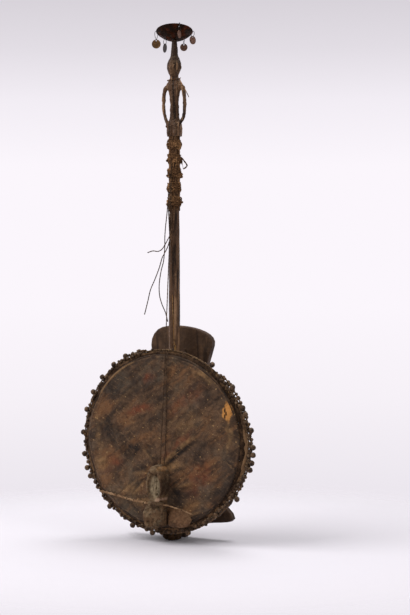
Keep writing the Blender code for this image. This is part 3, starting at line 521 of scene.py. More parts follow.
def loft(bm, sections, count=32):
    # height, half width, half depth, shift forward, squareness
    rings = []
    for z, rx, ry, forward, power in sections:
        ring = []
        for i in range(count):
            a = 2 * math.pi * i / count
            c, s = math.cos(a), math.sin(a)
            x = math.copysign(abs(c) ** (2 / power), c) * rx
            y = math.copysign(abs(s) ** (2 / power), s) * ry
            ring.append(bm.verts.new((x, place["neckY"] + y - forward, z)))
        rings.append(ring)
    for low, high in zip(rings, rings[1:]):
        for i in range(count):
            j = (i + 1) % count
            bm.faces.new((low[i], low[j], high[j], high[i]))
    bm.faces.new(list(reversed(rings[0])))
    bm.faces.new(rings[-1])


def finerSections(sections, step):
    out = []
    rows = [sections[0], *sections, sections[-1]]
    for a, b, c, d in zip(rows, rows[1:], rows[2:], rows[3:]):
        n = max(1, round((c[0] - b[0]) / step))
        for i in range(n):
            t = i / n
            row = []
            for k in range(5):
                p = 0.5 * (2 * b[k] + (c[k] - a[k]) * t + (2 * a[k] - 5 * b[k] + 4 * c[k] - d[k]) * t * t
                           + (3 * b[k] - a[k] - 3 * c[k] + d[k]) * t ** 3)
                row.append(min(max(p, min(b[k], c[k])), max(b[k], c[k])))
            out.append(tuple(row))
    return [*out, sections[-1]]


def carve(bm, voxel, rounds=2):
    # fuses overlapping lumps into one skin and softens it
    mesh = bpy.data.meshes.new("rough")
    bm.to_mesh(mesh)
    bm.free()
    o = bpy.data.objects.new("rough", mesh)
    scene.collection.objects.link(o)
    fuse = o.modifiers.new("fuse", "REMESH")
    fuse.mode = "VOXEL"
    fuse.voxel_size = voxel
    soften = o.modifiers.new("soften", "SMOOTH")
    soften.factor = 0.5
    soften.iterations = rounds
    graph = bpy.context.evaluated_depsgraph_get()
    done = bpy.data.meshes.new_from_object(o.evaluated_get(graph))
    bpy.data.objects.remove(o, do_unlink=True)
    out = bmesh.new()
    out.from_mesh(done)
    bpy.data.meshes.remove(done)
    out.normal_update()
    return out


def weather(bm, amount, scale, seed=0, keep=None):
    # pushes the surface in and out a little, as hand carving and age do
    bm.normal_update()
    moves = []
    for v in bm.verts:
        if keep and keep(v.co):
            moves.append(None)
            continue
        n = noise.fractal(v.co * scale + Vector((seed, seed * 2.0, seed * 3.0)), 0.6, 2.1, 4)
        moves.append(v.normal * (n * amount))
    for v, move in zip(bm.verts, moves):
        if move:
            v.co += move


def makePiece(name, bm, material, body, replaces=(), blend=None):
    mesh = bpy.data.meshes.new(name)
    bmesh.ops.recalc_face_normals(bm, faces=bm.faces)
    bm.to_mesh(mesh)
    bm.free()
    mesh.shade_smooth()
    mesh.materials.append(material)
    o = bpy.data.objects.new(name, mesh)
    scene.collection.objects.link(o)
    if replaces:
        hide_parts(*replaces)
    if blend:
        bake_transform(o)
    else:
        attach(o, body)
    return o


# ---- the free cords

cords = {
    "step": 0.0012, "sides": 10, "pitch": 0.0065,
    "slackString": {
        "node": "slack_string", "body": "binding_5", "radius": 0.0010, "finish": "string", "slot": "gut",
        "route": [
            (-0.0095, 0.0440, 0.7145), (-0.0098, 0.0440, 0.6980), (-0.0120, 0.0445, 0.6800),
            (-0.0150, 0.0450, 0.6580), (-0.0166, 0.0450, 0.6370), (-0.0166, 0.0450, 0.6195),
            (-0.0178, 0.0450, 0.6030), (-0.0200, 0.0450, 0.5860), (-0.0255, 0.0450, 0.5670),
            (-0.0300, 0.0450, 0.5400), (-0.0294, 0.0450, 0.5166), (-0.0240, 0.0450, 0.4980),
            (-0.0150, 0.0450, 0.4790), (-0.0095, 0.0450, 0.4600)],
    },
    "brokenStringUpper": {
        "node": "broken_string_upper", "body": "binding_2", "radius": 0.0010, "finish": "string",
        "slot": "gut",
        "route": [
            (0.0007, 0.0409, 0.8025), (0.0007, 0.0409, 0.7500), (0.0007, 0.0409, 0.7000),
            (0.0007, 0.0440, 0.6720), (0.0006, 0.0425, 0.6550), (-0.0010, 0.0392, 0.6420),
            (-0.0060, 0.0370, 0.6310), (-0.0120, 0.0365, 0.6210), (-0.0195, 0.0370, 0.6120),
            (-0.0288, 0.0375, 0.6080), (-0.0416, 0.0380, 0.6090), (-0.0542, 0.0380, 0.6055)],
    },
    "brokenStringLower": {
        "node": "broken_string_lower", "body": "binding_3", "radius": 0.0010, "finish": "string",
        "slot": "gut",
        "route": [
            (-0.0028, 0.0412, 0.7725), (-0.0028, 0.0412, 0.7350), (-0.0028, 0.0412, 0.7000),
            (-0.0028, 0.0440, 0.6720), (-0.0029, 0.0440, 0.6500), (-0.0030, 0.0425, 0.6360),
            (-0.0042, 0.0400, 0.6250), (-0.0075, 0.0380, 0.6140), (-0.0150, 0.0385, 0.6020),
            (-0.0225, 0.0430, 0.5930), (-0.0330, 0.0500, 0.5730), (-0.0446, 0.0520, 0.5490),
            (-0.0552, 0.0520, 0.5270), (-0.0614, 0.0520, 0.5040), (-0.0668, 0.0520, 0.4850),
            (-0.0699, 0.0520, 0.4746)],
    },
    "necklaceCord": {
        "node": "necklace_cord", "body": "body", "radius": 0.0008, "finish": "cord", "slot": "brown_cord",
        "route": [
            (0.0064, 0.0508, 0.9690), (0.0020, 0.0455, 0.9672), (-0.0080, 0.0470, 0.9672),
            (-0.0152, 0.0535, 0.9668), (-0.0150, 0.0600, 0.9672), (-0.0085, 0.0665, 0.9690),
            (0.0010, 0.0685, 0.9708), (0.0095, 0.0650, 0.9722), (0.0135, 0.0575, 0.9712),
            (0.0165, 0.0510, 0.9665), (0.0225, 0.0470, 0.9590), (0.0290, 0.0455, 0.9490),
            (0.0355, 0.0450, 0.9385), (0.0405, 0.0450, 0.9285)],
    },
}
for name in ("slackString", "brokenStringUpper", "brokenStringLower", "necklaceCord"):
    c = cords[name]
    path = smoothPath([behind(*p) for p in c["route"]], cords["step"])
    bm = bmesh.new()
    sweep(bm, path, c["radius"] * 1.12, cords["sides"], lobes=2, depth=0.16, pitch=cords["pitch"])
    piece = makePiece(name, bm, finish[c["finish"]], c["body"], [c["node"]])
print("free cords made")

tautString = {
    "radius": 0.00115, "pitch": 0.008, "step": 0.0013,
    "route": [(0.0040, -0.0120, 0.1666), (0.0099, -0.0016, 0.3917), (-0.0057, 0.0464, 0.640),
              (-0.0062, 0.0415, 0.7005), (-0.0062, 0.0415, 0.7425)],
}
line = [behind(*p) for p in tautString["route"]]
path = []
for a, b in zip(line, line[1:]):
    n = max(2, round((b - a).length / tautString["step"]))
    path += [a.lerp(b, i / n) for i in range(n)]
bm = bmesh.new()
sweep(bm, [*path, line[-1]], tautString["radius"], 8, lobes=2, depth=0.25, pitch=tautString["pitch"])
makePiece("tautString", bm, finish["string"], "body", ["taut_string"],
          blend=("body", "binding_4", tuple(line[0]), tuple(line[-1])))

strandRemains = {              # what is left of other strings, fast on the skin and the neck
    "overSkin": [(0.0100, -0.0060, 0.1640), (0.0112, -0.0022, 0.2100), (0.0130, -0.0021, 0.3000),
                 (0.0150, -0.0022, 0.3890), (0.0112, 0.0250, 0.4020), (0.0074, 0.0447, 0.4120)],
    "alongNeck": [(0.0012, 0.0454, 0.5160), (0.0026, 0.0453, 0.4800), (0.0040, 0.0455, 0.4450),
                  (0.0052, 0.0458, 0.4140)],
    "knot": (0.0074, 0.0452, 0.4080),
}
bm = bmesh.new()
sweep(bm, smoothPath([behind(*p) for p in strandRemains["overSkin"]], 0.002), 0.0010, 8, lobes=2, depth=0.3,
      pitch=0.009)
makePiece("overSkinStrand", bm, finish["string"], "body")
bm = bmesh.new()
sweep(bm, smoothPath([behind(*p) for p in strandRemains["alongNeck"]], 0.003), 0.0006, 6)
x, depth, z = strandRemains["knot"]
for k, (dx, dz, size) in enumerate(((0, 0, 0.0026), (0.0008, -0.0050, 0.0021), (-0.0007, 0.0045, 0.0017))):
    lump(bm, behind(x + dx, depth, z + dz), (size, size * 0.8, size * 1.5), 60 + k, 0.3, 3)
makePiece("strawKnot", bm, finish["straw"], "body")


# ---- the skin

skinForm = {
    "radius": 0.180, "rings": 104, "around": 400, "thickness": 0.0016, "skirt": 0.018, "taper": 0.006,
    "wrinkle": 0.0011, "foldRing": 0.1735, "foldHeight": 0.0009, "shoulder": 0.167, "fall": 0.0036,
    "lipRing": 0.1755, "lip": 0.0024,
    "creases": [
        ((0.004, 0.168), (0.080, 0.228), 0.0032, 0.0056), ((-0.022, 0.172), (-0.050, 0.205), 0.0012, 0.004),
        ((-0.030, 0.150), (-0.070, 0.140), 0.0014, 0.005),
        ((-0.040, 0.128), (-0.070, 0.092), 0.0018, 0.0045),
        ((-0.060, 0.128), (-0.098, 0.096), 0.0014, 0.005), ((0.024, 0.160), (0.058, 0.168), 0.0014, 0.005),
        ((0.034, 0.120), (0.078, 0.132), 0.0014, 0.005), ((0.060, 0.060), (0.095, 0.075), 0.0014, 0.004),
        ((-0.110, 0.290), (-0.055, 0.330), 0.0009, 0.005), ((0.020, 0.250), (0.075, 0.300), 0.0008, 0.006),
        ((0.078, 0.362), (0.112, 0.344), 0.0014, 0.004), ((0.092, 0.372), (0.130, 0.350), 0.0012, 0.004),
        ((-0.150, 0.250), (-0.100, 0.226), 0.0009, 0.006), ((0.150, 0.178), (0.174, 0.160), 0.0010, 0.003),
    ],
    # tone, across, height, reach across, reach up, slant in degrees, strength
    "patches": [
        ("dark", -0.068, 0.198, 0.046, 0.013, 8, 0.85), ("dark", -0.120, 0.232, 0.050, 0.018, -20, 0.75),
        ("dark", 0.042, 0.196, 0.044, 0.0060, 38, 0.75), ("dark", -0.020, 0.250, 0.036, 0.018, 25, 0.50),
        # the dark patch at 0.034 across, 0.112 up is a painted shadow cast by the bridge
        ("dark", 0.098, 0.372, 0.030, 0.0045, -30, 0.70), ("dark", 0.034, 0.112, 0.016, 0.022, 0, 0.75),
        ("dark", 0.120, 0.215, 0.030, 0.012, 30, 0.40), ("dark", -0.085, 0.300, 0.040, 0.012, 30, 0.45),
        # the dark patch at 0.166 across, 0.167 up is painted shade in the notch
        ("dark", 0.166, 0.167, 0.011, 0.0024, -30, 0.95), ("dark", -0.030, 0.060, 0.030, 0.008, 0, 0.60),
        ("red", -0.055, 0.277, 0.030, 0.009, 12, 0.80), ("red", -0.030, 0.344, 0.016, 0.012, 0, 0.65),
        ("red", 0.060, 0.300, 0.045, 0.018, 35, 0.40), ("red", 0.040, 0.210, 0.040, 0.007, 38, 0.55),
        ("red", 0.088, 0.140, 0.020, 0.040, -20, 0.45), ("red", -0.118, 0.165, 0.028, 0.012, 30, 0.55),
        ("pale", -0.146, 0.160, 0.018, 0.012, 20, 0.80), ("pale", 0.022, 0.166, 0.022, 0.008, -15, 0.85),
        ("pale", 0.158, 0.228, 0.0065, 0.032, -5, 0.70), ("pale", 0.100, 0.350, 0.024, 0.008, -28, 0.75),
        ("pale", -0.084, 0.108, 0.010, 0.018, -35, 0.75), ("pale", -0.062, 0.112, 0.006, 0.018, -35, 0.55),
        ("pale", -0.040, 0.085, 0.026, 0.006, -5, 0.55), ("pale", 0.060, 0.250, 0.030, 0.020, 40, 0.30),
        ("pale", 0.070, 0.080, 0.018, 0.022, -30, 0.35), ("pale", -0.152, 0.225, 0.007, 0.040, 0, 0.40),
    ],
}


def skinHeight(x, z):
    s = skinForm
    p = Vector((x, 0.0, z))
    h = s["wrinkle"] * noise.fractal(p * 26.0, 0.7, 2.2, 5) + 0.0018 * noise.noise(p * 10.0)
    h += 0.0005 * noise.noise(Vector((x * 150.0, 4.0, z * 60.0)))
    fromBridge = math.hypot(x, (z - 0.125) * 0.7)
    angle = math.atan2(z - 0.125, x)
    h += 0.0016 * math.exp(-((fromBridge - 0.03) / 0.03) ** 2) * (0.4 + 0.6 * math.sin(angle * 9 + 1.3))
    for (x0, z0), (x1, z1), height, width in s["creases"]:
        dx, dz = x1 - x0, z1 - z0
        t = min(1, max(0, ((x - x0) * dx + (z - z0) * dz) / (dx * dx + dz * dz)))
        away = math.hypot(x - x0 - t * dx, z - z0 - t * dz)
        h += height * math.exp(-(away / width) ** 2) * math.sin(math.pi * min(1, t * 0.8 + 0.15))
    r = math.hypot(x, z - place["drumZ"])
    fall = min(1, max(0, (r - s["shoulder"]) / (s["radius"] - s["shoulder"])))
    h -= s["fall"] * fall * fall
    turn = math.degrees(math.atan2(z - place["drumZ"], x))
    lip = math.exp(-((turn - 131) / 17) ** 4) * math.exp(-((r - s["lipRing"]) / 0.0022) ** 2)
    h += s["lip"] * lip
    edge = 0.55 + 0.45 * noise.noise(Vector((x * 30.0, 9.0, z * 30.0)))
    foldRing = s["foldRing"] + 0.0018 * noise.noise(p * 40.0)
    h += s["foldHeight"] * edge * math.exp(-((r - foldRing) / 0.0016) ** 2)
    tx, tz = skinPlace["tear"]
    h -= 0.0018 * math.exp(-((x - tx) / 0.002) ** 2 - ((z - tz) / 0.007) ** 2)
    nx, nz = skinPlace["notch"]
    along = ((x - nx) - 0.58 * (z - nz)) * 0.865
    over = ((z - nz) + 0.58 * (x - nx)) * 0.865
    h -= 0.0030 * math.exp(-(along / 0.010) ** 2 - (over / 0.0022) ** 2)
    return min(h, 0.0022)


def skinDrift(x, z, scale, layer):
    # across and up; noise.noise_vector isn't used, because it is different on each run
    p = Vector((x * scale, layer, z * scale))
    return Vector((noise.noise(p), 0.0, noise.noise(p + Vector((0.0, 17.3, 0.0)))))


def skinToneAndShade(x, z):            # how dark, pale or reddish the hide looks here: its stains, plus painted highlights and painted shade at the creases, the lip and the edge
    s = skinForm
    out = {"dark": 0.0, "pale": 0.0, "red": 0.0}
    shift = skinDrift(x, z, 34.0, 2.0) * 0.010 + skinDrift(x, z, 110.0, 6.0) * 0.004
    grain = 0.72 + 0.55 * noise.fractal(Vector((x * 60.0, 8.0, z * 60.0)), 0.6, 2.1, 4)
    for tone, cx, cz, rx, rz, slant, strength in s["patches"]:
        dx, dz = x + shift.x - cx, z + shift.z - cz
        c, n = math.cos(math.radians(slant)), math.sin(math.radians(slant))
        far = math.hypot((dx * c + dz * n) / rx, (dz * c - dx * n) / rz)
        if far < 2.2:
            out[tone] = max(out[tone], strength * math.exp(-far ** 3) * grain * 1.35)
    # along each crease: a painted highlight on its ridge, and painted shade on its lower side, away from the
    # light
    for (x0, z0), (x1, z1), height, width in s["creases"]:
        dx, dz = x1 - x0, z1 - z0
        t = min(1, max(0, ((x - x0) * dx + (z - z0) * dz) / (dx * dx + dz * dz)))
        away = math.hypot(x - x0 - t * dx, z - z0 - t * dz)
        side = (dx * (z - z0) - dz * (x - x0)) / math.hypot(dx, dz)
        fade = math.sin(math.pi * min(1, t * 0.8 + 0.15)) * height / 0.0018
        out["pale"] = max(out["pale"], 0.55 * fade * math.exp(-(away / (width * 0.8)) ** 2))
        if away < width * 4 and 0 < t < 1:
            below = (side + width * 1.3) / (width * 0.7)
            out["dark"] = max(out["dark"], 0.75 * fade * math.exp(-below ** 2))
    r = math.hypot(x, z - place["drumZ"])
    turn = math.degrees(math.atan2(z - place["drumZ"], x))
    # a painted highlight along the raised lip at the upper left, where the key light falls
    lip = math.exp(-((turn - 131) / 19) ** 4) * math.exp(-((r - s["lipRing"]) / 0.0020) ** 2)
    out["pale"] = max(out["pale"], 0.9 * lip)
    # painted shade where the skin turns down under the hoop, and along the groove inside the fold ring
    edge = 0.5 + 0.8 * noise.noise(Vector((x * 45.0, 3.0, z * 45.0)))
    out["dark"] = max(out["dark"], edge * min(1, max(0, (r - 0.1765) / 0.002)))
    out["dark"] = max(out["dark"], 0.55 * edge * math.exp(-((r - 0.1715) / 0.0022) ** 2))
    return {tone: min(1, max(0, value)) for tone, value in out.items()}


def makeSkin():
    s = skinForm
    bm = bmesh.new()
    layers = {tone: bm.verts.layers.float.new(tone) for tone in ("dark", "pale", "red")}
    profile = [(s["radius"] * (i / s["rings"]) ** 0.8 - 0.0012 * (i == s["rings"]), 0.0)
               for i in range(1, s["rings"] + 1)]
    profile += [(s["radius"] - 0.0004, 0.0012), (s["radius"], 0.0030), (s["radius"] - 0.0006, 0.006),
                (s["radius"] - 0.0022, 0.010), (s["radius"] - 0.0042, 0.0145),
                (s["radius"] - s["taper"], s["skirt"])]
    centre = bm.verts.new((0, place["skinY"] - skinHeight(0, place["drumZ"]), place["drumZ"]))
    rings = []
    for r, d in profile:
        ring = []
        for k in range(s["around"]):
            a = 2 * math.pi * k / s["around"]
            rough = 0.0006 * noise.noise(Vector((math.cos(a) * 14, d * 200, math.sin(a) * 14)))
            rough *= min(1, r / 0.17)
            x, z = (r + rough) * math.cos(a), place["drumZ"] + (r + rough) * math.sin(a)
            h = skinHeight(x, z) * (1 if d == 0 else max(0, 1 - d / 0.006))
            ring.append(bm.verts.new((x, place["skinY"] + d - h, z)))
        rings.append(ring)
    for v in bm.verts:
        for tone, value in skinToneAndShade(v.co.x, v.co.z).items():
            v[layers[tone]] = value
    n = s["around"]
    for k in range(n):
        bm.faces.new((centre, rings[0][(k + 1) % n], rings[0][k]))
    for inner, outer in zip(rings, rings[1:]):
        for k in range(n):
            j = (k + 1) % n
            bm.faces.new((inner[k], inner[j], outer[j], outer[k]))
    o = makePiece("drumSkin", bm, finish["skin"], "body", ["skin"])
    thick = o.modifiers.new("thickness", "SOLIDIFY")
    thick.thickness = 0.0012
    thick.offset = -1
    return o


makeSkin()
print("skin made")


# ---- the hoop, the seeds and their cord

rim = {
    "hoopRing": 0.180 - 0.006 / 0.014 * 0.010 + (0.0060 + 1.6 * 0.0003) * math.hypot(1, 0.006 / 0.014),
    "hoopRadius": 0.0060, "standOff": 0.006, "seedRadius": 0.0047,
    "seeds": 118, "frontSeeds": 146, "backSeeds": 112,
    "cordRadius": 0.0012, "gap": 0.0003, "bare": (44, 106), "slits": (14.4, -2.3, -10.4),
    "knobs": [
        (191.0, 0.1975), (199.8, 0.1990), (205.2, 0.1985), (247.5, 0.1975), (54.8, 0.1965), (36.1, 0.1975),
        (22.3, 0.1975), (18.2, 0.1985), (8.4, 0.2040), (-1.2, 0.2060), (-5.5, 0.2070), (-10.1, 0.2062),
        (-14.2, 0.2052), (-33.3, 0.2030), (128.0, 0.1965), (151.0, 0.1965), (287.0, 0.1965),
        (118.0, 0.1965), (139.5, 0.1965), (163.0, 0.1965), (177.5, 0.1970), (228.0, 0.1965),
        (262.0, 0.1965),
    ],
}
rim["seedRing"] = rim["hoopRing"] + rim["hoopRadius"] + rim["gap"] + rim["seedRadius"]


def rimDegrees(angle):
    return math.degrees(math.atan2(math.sin(angle), math.cos(angle)))


def standing(angle):           # 1 where the rim stands off the drum at the right, 0 far from there
    return math.exp(-(((rimDegrees(angle) + 4) / 24) ** 2))


def bareShare(angle):          # 1 where the hoop has no lumps on it
    low, high = rim["bare"]
    d = rimDegrees(angle)
    return min(1, max(0, (d - low) / 4)) * min(1, max(0, (high - d) / 4))


def ringPoint(radius, y, angle):
    r = radius + rim["standOff"] * standing(angle)
    return Vector((r * math.cos(angle), y, place["drumZ"] + r * math.sin(angle)))


def makeHoop():
    steps = 900
    path = []
    for i in range(steps):
        a = 2 * math.pi * i / steps
        sway = 0.0007 * noise.noise(Vector((math.cos(a) * 9, math.sin(a) * 9, 1)))
        path.append(ringPoint(rim["hoopRing"] + sway, place["hoopY"] + sway, a))
    bm = bmesh.new()
    slim = [1.26 - 0.46 * bareShare(2 * math.pi * i / steps) for i in range(steps)]
    sweep(bm, path, rim["hoopRadius"], 18, closed=True, lobes=3, depth=0.28, pitch=0.062, radii=slim)
    weather(bm, 0.0009, 90.0, 3)
    makePiece("hideHoop", bm, finish["hoop"], "body", ["rim_hoop"])


padding = {                    # hide pressed between the skin and the hoop, dark as painted shade in the gap
    "steps": 720, "ring": 0.1795, "y": -0.0888, "radius": 0.0048, "slitDegrees": 0.8,
    "lumps": 46, "lumpArc": 52, "lumpRing": 0.1815, "lumpY": -0.0930, "lumpFree": 1.6,
}


def makePadding():
    p = padding
    random.seed(17)
    bm = bmesh.new()
    path, radii = [], []
    for i in range(p["steps"]):
        a = 2 * math.pi * i / p["steps"]
        b = standing(a)
        slit = max(math.exp(-(((rimDegrees(a) - s) / p["slitDegrees"]) ** 2)) for s in rim["slits"])
        r = p["ring"] + 0.0030 * b + 0.0022 * slit
        path.append(Vector((r * math.cos(a), p["y"], place["drumZ"] + r * math.sin(a))))
        radii.append((p["radius"] + 0.0026 * b) * (1 - 0.52 * slit))
    sweep(bm, path, 1.0, 10, closed=True, radii=radii)
    weather(bm, 0.0007, 130.0, 6)
    for i in range(p["lumps"]):
        a = math.radians(random.uniform(-p["lumpArc"], p["lumpArc"]))
        if min(abs(rimDegrees(a) - s) for s in rim["slits"]) < p["lumpFree"]:
            continue
        r = p["lumpRing"] + 0.0036 * standing(a) + random.uniform(-0.001, 0.001)
        size = random.uniform(0.0018, 0.0029)
        y = p["lumpY"] + random.uniform(-0.001, 0.001)
        lump(bm, (r * math.cos(a), y, place["drumZ"] + r * math.sin(a)), (size, size, size), 200 + i, 0.35, 2)
    makePiece("rimPadding", bm, finish["groove"], "body")


def makeSeeds():
    random.seed(11)
    bm = bmesh.new()
    for i in range(rim["seeds"]):
        a = 2 * math.pi * (i + random.uniform(-0.40, 0.40)) / rim["seeds"]
        bare = bareShare(a)
        size = rim["seedRadius"] * random.uniform(0.72, 1.16) * (1 - 0.52 * bare)
        out = random.choice((-0.0040, -0.0028, -0.0016, -0.0006, 0.0006)) - 0.0052 * bare
        centre = ringPoint(rim["seedRing"] + out, place["hoopY"] + random.uniform(-0.0018, 0.0015), a)
        spin = random.uniform(0, 6.28)
        turn = Matrix.Rotation(spin, 3, Vector((random.random(), random.random(), 1)).normalized())
        shape = [size * random.uniform(low, high) for low, high in ((0.82, 1.05), (0.85, 1.0), (0.8, 1.0))]
        lump(bm, centre, shape, i, 0.32, 2, turn)
    for i in range(rim["frontSeeds"]):
        a = 2 * math.pi * (i + 0.5 + random.uniform(-0.35, 0.35)) / rim["frontSeeds"]
        if bareShare(a) > 0.5 and i % 3:
            continue
        size = rim["seedRadius"] * random.uniform(0.55, 1.02) * (1 - 0.40 * bareShare(a))
        centre = ringPoint(rim["seedRing"] - 0.0045 + 0.0034 * standing(a) + random.uniform(-0.0018, 0.002),
                           place["hoopY"] - 0.0062 + 0.0018 * standing(a) + random.uniform(-0.001, 0.001), a)
        spin = random.uniform(0, 6.28)
        turn = Matrix.Rotation(spin, 3, Vector((random.random(), 1, random.random())).normalized())
        lump(bm, centre, (size, size * 0.9, size * 0.95), 300 + i, 0.38, 2, turn)
    for i in range(rim["backSeeds"]):
        a = 2 * math.pi * (i + random.uniform(-0.3, 0.3)) / rim["backSeeds"]
        size = rim["seedRadius"] * random.uniform(0.70, 0.95) * (1 - 0.4 * bareShare(a))
        centre = ringPoint(rim["seedRing"] - 0.0022 - 0.0052 * bareShare(a), place["hoopY"] + 0.0066, a)
        lump(bm, centre, (size, size, size), 700 + i, 0.3, 2)
    for i, (degrees, r) in enumerate(rim["knobs"]):
        a = math.radians(degrees)
        centre = Vector((r * math.cos(a), place["hoopY"] - 0.0035, place["drumZ"] + r * math.sin(a)))
        lump(bm, centre, (0.0057, 0.0055, 0.0059), 500 + i, 0.10, 3)
    makePiece("seedString", bm, finish["seed"], "body", ["bead_string"])


def makeRimCord():
    reachHoop = rim["hoopRadius"] + rim["gap"] + rim["cordRadius"]
    reachSeed = rim["seedRadius"] + rim["gap"] + rim["cordRadius"]
    apart = rim["seedRing"] - rim["hoopRing"]
    across = (reachHoop ** 2 - reachSeed ** 2 + apart ** 2) / (2 * apart)
    forward = math.sqrt(reachHoop ** 2 - across ** 2)
    path = []
    steps = 1100
    for i in range(steps):
        a = 2 * math.pi * i / steps
        shown = min(1, max(0, (50 - abs(rimDegrees(a) + 4)) / 10))
        path.append(ringPoint(rim["hoopRing"] + across, place["hoopY"] - forward * (0.45 + 0.62 * shown), a))
    bm = bmesh.new()
    sweep(bm, path, rim["cordRadius"] * 1.15, 8, closed=True, lobes=2, depth=0.35, pitch=0.0075)
    inner = []
    for i in range(500):
        a = 2 * math.pi * i / 500
        inner.append(ringPoint(rim["seedRing"] - 0.0062 * bareShare(a), place["hoopY"], a))
    sweep(bm, inner, 0.0016, 6, closed=True)
    makePiece("rimCord", bm, finish["paleCord"], "body", ["rim_cord"])


makeHoop()
makePadding()
makeSeeds()
makeRimCord()
print("rim made")


# ---- the neck and its carved figure

neckForm = {
    "stick": [
        (0.004, 0.0112, 0.0112, 0, 2.3), (0.395, 0.0112, 0.0112, 0, 2.3), (0.560, 0.0108, 0.0108, 0, 2.4),
        (0.690, 0.0104, 0.0104, 0, 2.3), (0.8485, 0.0104, 0.0104, 0, 2.2),
    ],
    "figure": [
        (0.8490, 0.0146, 0.0116, 0, 3.0), (0.8505, 0.0154, 0.0121, 0, 3.2), (0.860, 0.0162, 0.0125, 0, 3.0),
        (0.874, 0.0160, 0.0120, 0, 2.8), (0.884, 0.0114, 0.0095, 0, 2.3), (0.896, 0.0100, 0.0086, 0, 2.0),
        (0.916, 0.0094, 0.0082, 0, 2.0), (0.934, 0.0108, 0.0086, 0, 2.0), (0.945, 0.0138, 0.0092, 0, 2.2),
        (0.952, 0.0200, 0.0094, 0, 2.3), (0.960, 0.0176, 0.0090, 0, 2.1), (0.967, 0.0124, 0.0084, 0, 2.0),
        (0.973, 0.0088, 0.0081, 0, 2.0), (0.978, 0.0092, 0.0108, 0.0020, 2.0),
        (0.985, 0.0124, 0.0138, 0.0022, 2.0), (0.994, 0.0146, 0.0152, 0.0012, 2.1),
        (1.003, 0.0140, 0.0148, 0.0004, 2.1), (1.010, 0.0112, 0.0116, 0, 2.0),
        (1.0150, 0.0090, 0.0090, 0, 2.0), (1.0180, 0.0079, 0.0079, 0, 2.0), (1.034, 0.0067, 0.0067, 0, 2.0),
        (1.0500, 0.0052, 0.0052, 0, 2.0),
    ],
    "rightArm": [
        (0.0130, 0.000, 0.955, 0.0048), (0.0208, -0.001, 0.950, 0.0050), (0.0242, -0.002, 0.936, 0.0042),
        (0.0252, -0.002, 0.920, 0.0038), (0.0252, -0.003, 0.903, 0.0036), (0.0236, -0.004, 0.889, 0.0034),
        (0.0185, -0.006, 0.879, 0.0034), (0.0130, -0.006, 0.872, 0.0036),
    ],
    "leftArm": [
        (-0.0130, 0.000, 0.955, 0.0048), (-0.0200, -0.001, 0.950, 0.0050), (-0.0236, -0.002, 0.937, 0.0042),
        (-0.0246, -0.002, 0.920, 0.0038), (-0.0236, -0.003, 0.903, 0.0036),
        (-0.0192, -0.005, 0.889, 0.0034), (-0.0150, -0.006, 0.880, 0.0034),
        (-0.0120, -0.006, 0.872, 0.0036),
    ],
    # heights on the figure: cleft of the legs, combed hair, ridge down the front, the part that weathers, top
    "cleftTop": 0.872, "hair": (0.9985, 1.012), "ridge": (0.884, 0.945), "plain": (0.8495, 1.040),
    "top": 1.0497,
}


figureFeatures = [             # name, half apart, forward, height, half sizes, seed, roughness
    ("ear", 0.0146, -0.0010, 0.9935, (0.0018, 0.0030, 0.0046), 1, 0.1),
    ("brow", 0.0052, 0.0147, 0.9965, (0.0040, 0.0016, 0.0011), 2, 0.1),
    ("lid", 0.0051, 0.0146, 0.9935, (0.0026, 0.0014, 0.0010), 3, 0.1),
    ("hand", 0.0135, 0.0080, 0.8700, (0.0034, 0.0044, 0.0030), 4, 0.2),
    ("thigh", 0.0064, 0.0112, 0.8570, (0.0048, 0.0024, 0.0080), 5, 0.2),
    ("chest", 0.0050, 0.0078, 0.9480, (0.0040, 0.0030, 0.0038), 6, 0.1),
    ("nose", 0, 0.0158, 0.9915, (0.0017, 0.0027, 0.0044), 7, 0.05),
    ("upper lip", 0, 0.0150, 0.9846, (0.0034, 0.0014, 0.0008), 8, 0.05),
    ("lower lip", 0, 0.0146, 0.9828, (0.0030, 0.0014, 0.0008), 9, 0.05),
    ("chin", 0, 0.0124, 0.9790, (0.0036, 0.0024, 0.0024), 10, 0.05),
    ("navel", 0, 0.0074, 0.9050, (0.0020, 0.0018, 0.0022), 11, 0.05),
]


def makeStick():
    bm = bmesh.new()
    loft(bm, finerSections(neckForm["stick"], 0.006), 24)
    for v in bm.verts:
        if v.co.z < 0.005 or v.co.z > 0.847:
            continue
        axis = Vector((0, place["neckY"], v.co.z))
        out = v.co - axis
        a = math.atan2(out.y, out.x)
        hewn = 0.00045 * math.cos(7 * a + 1.5 * noise.noise(Vector((0, 0, v.co.z * 8))))
        hewn += 0.0006 * noise.fractal(Vector((v.co.x * 60, v.co.y * 60, v.co.z * 14)), 0.7, 2.0, 4)
        v.co = axis + out * (1 + min(hewn, 0.0006) / out.length)
    makePiece("neckStick", bm, finish["neck"], "body", ["neck"])


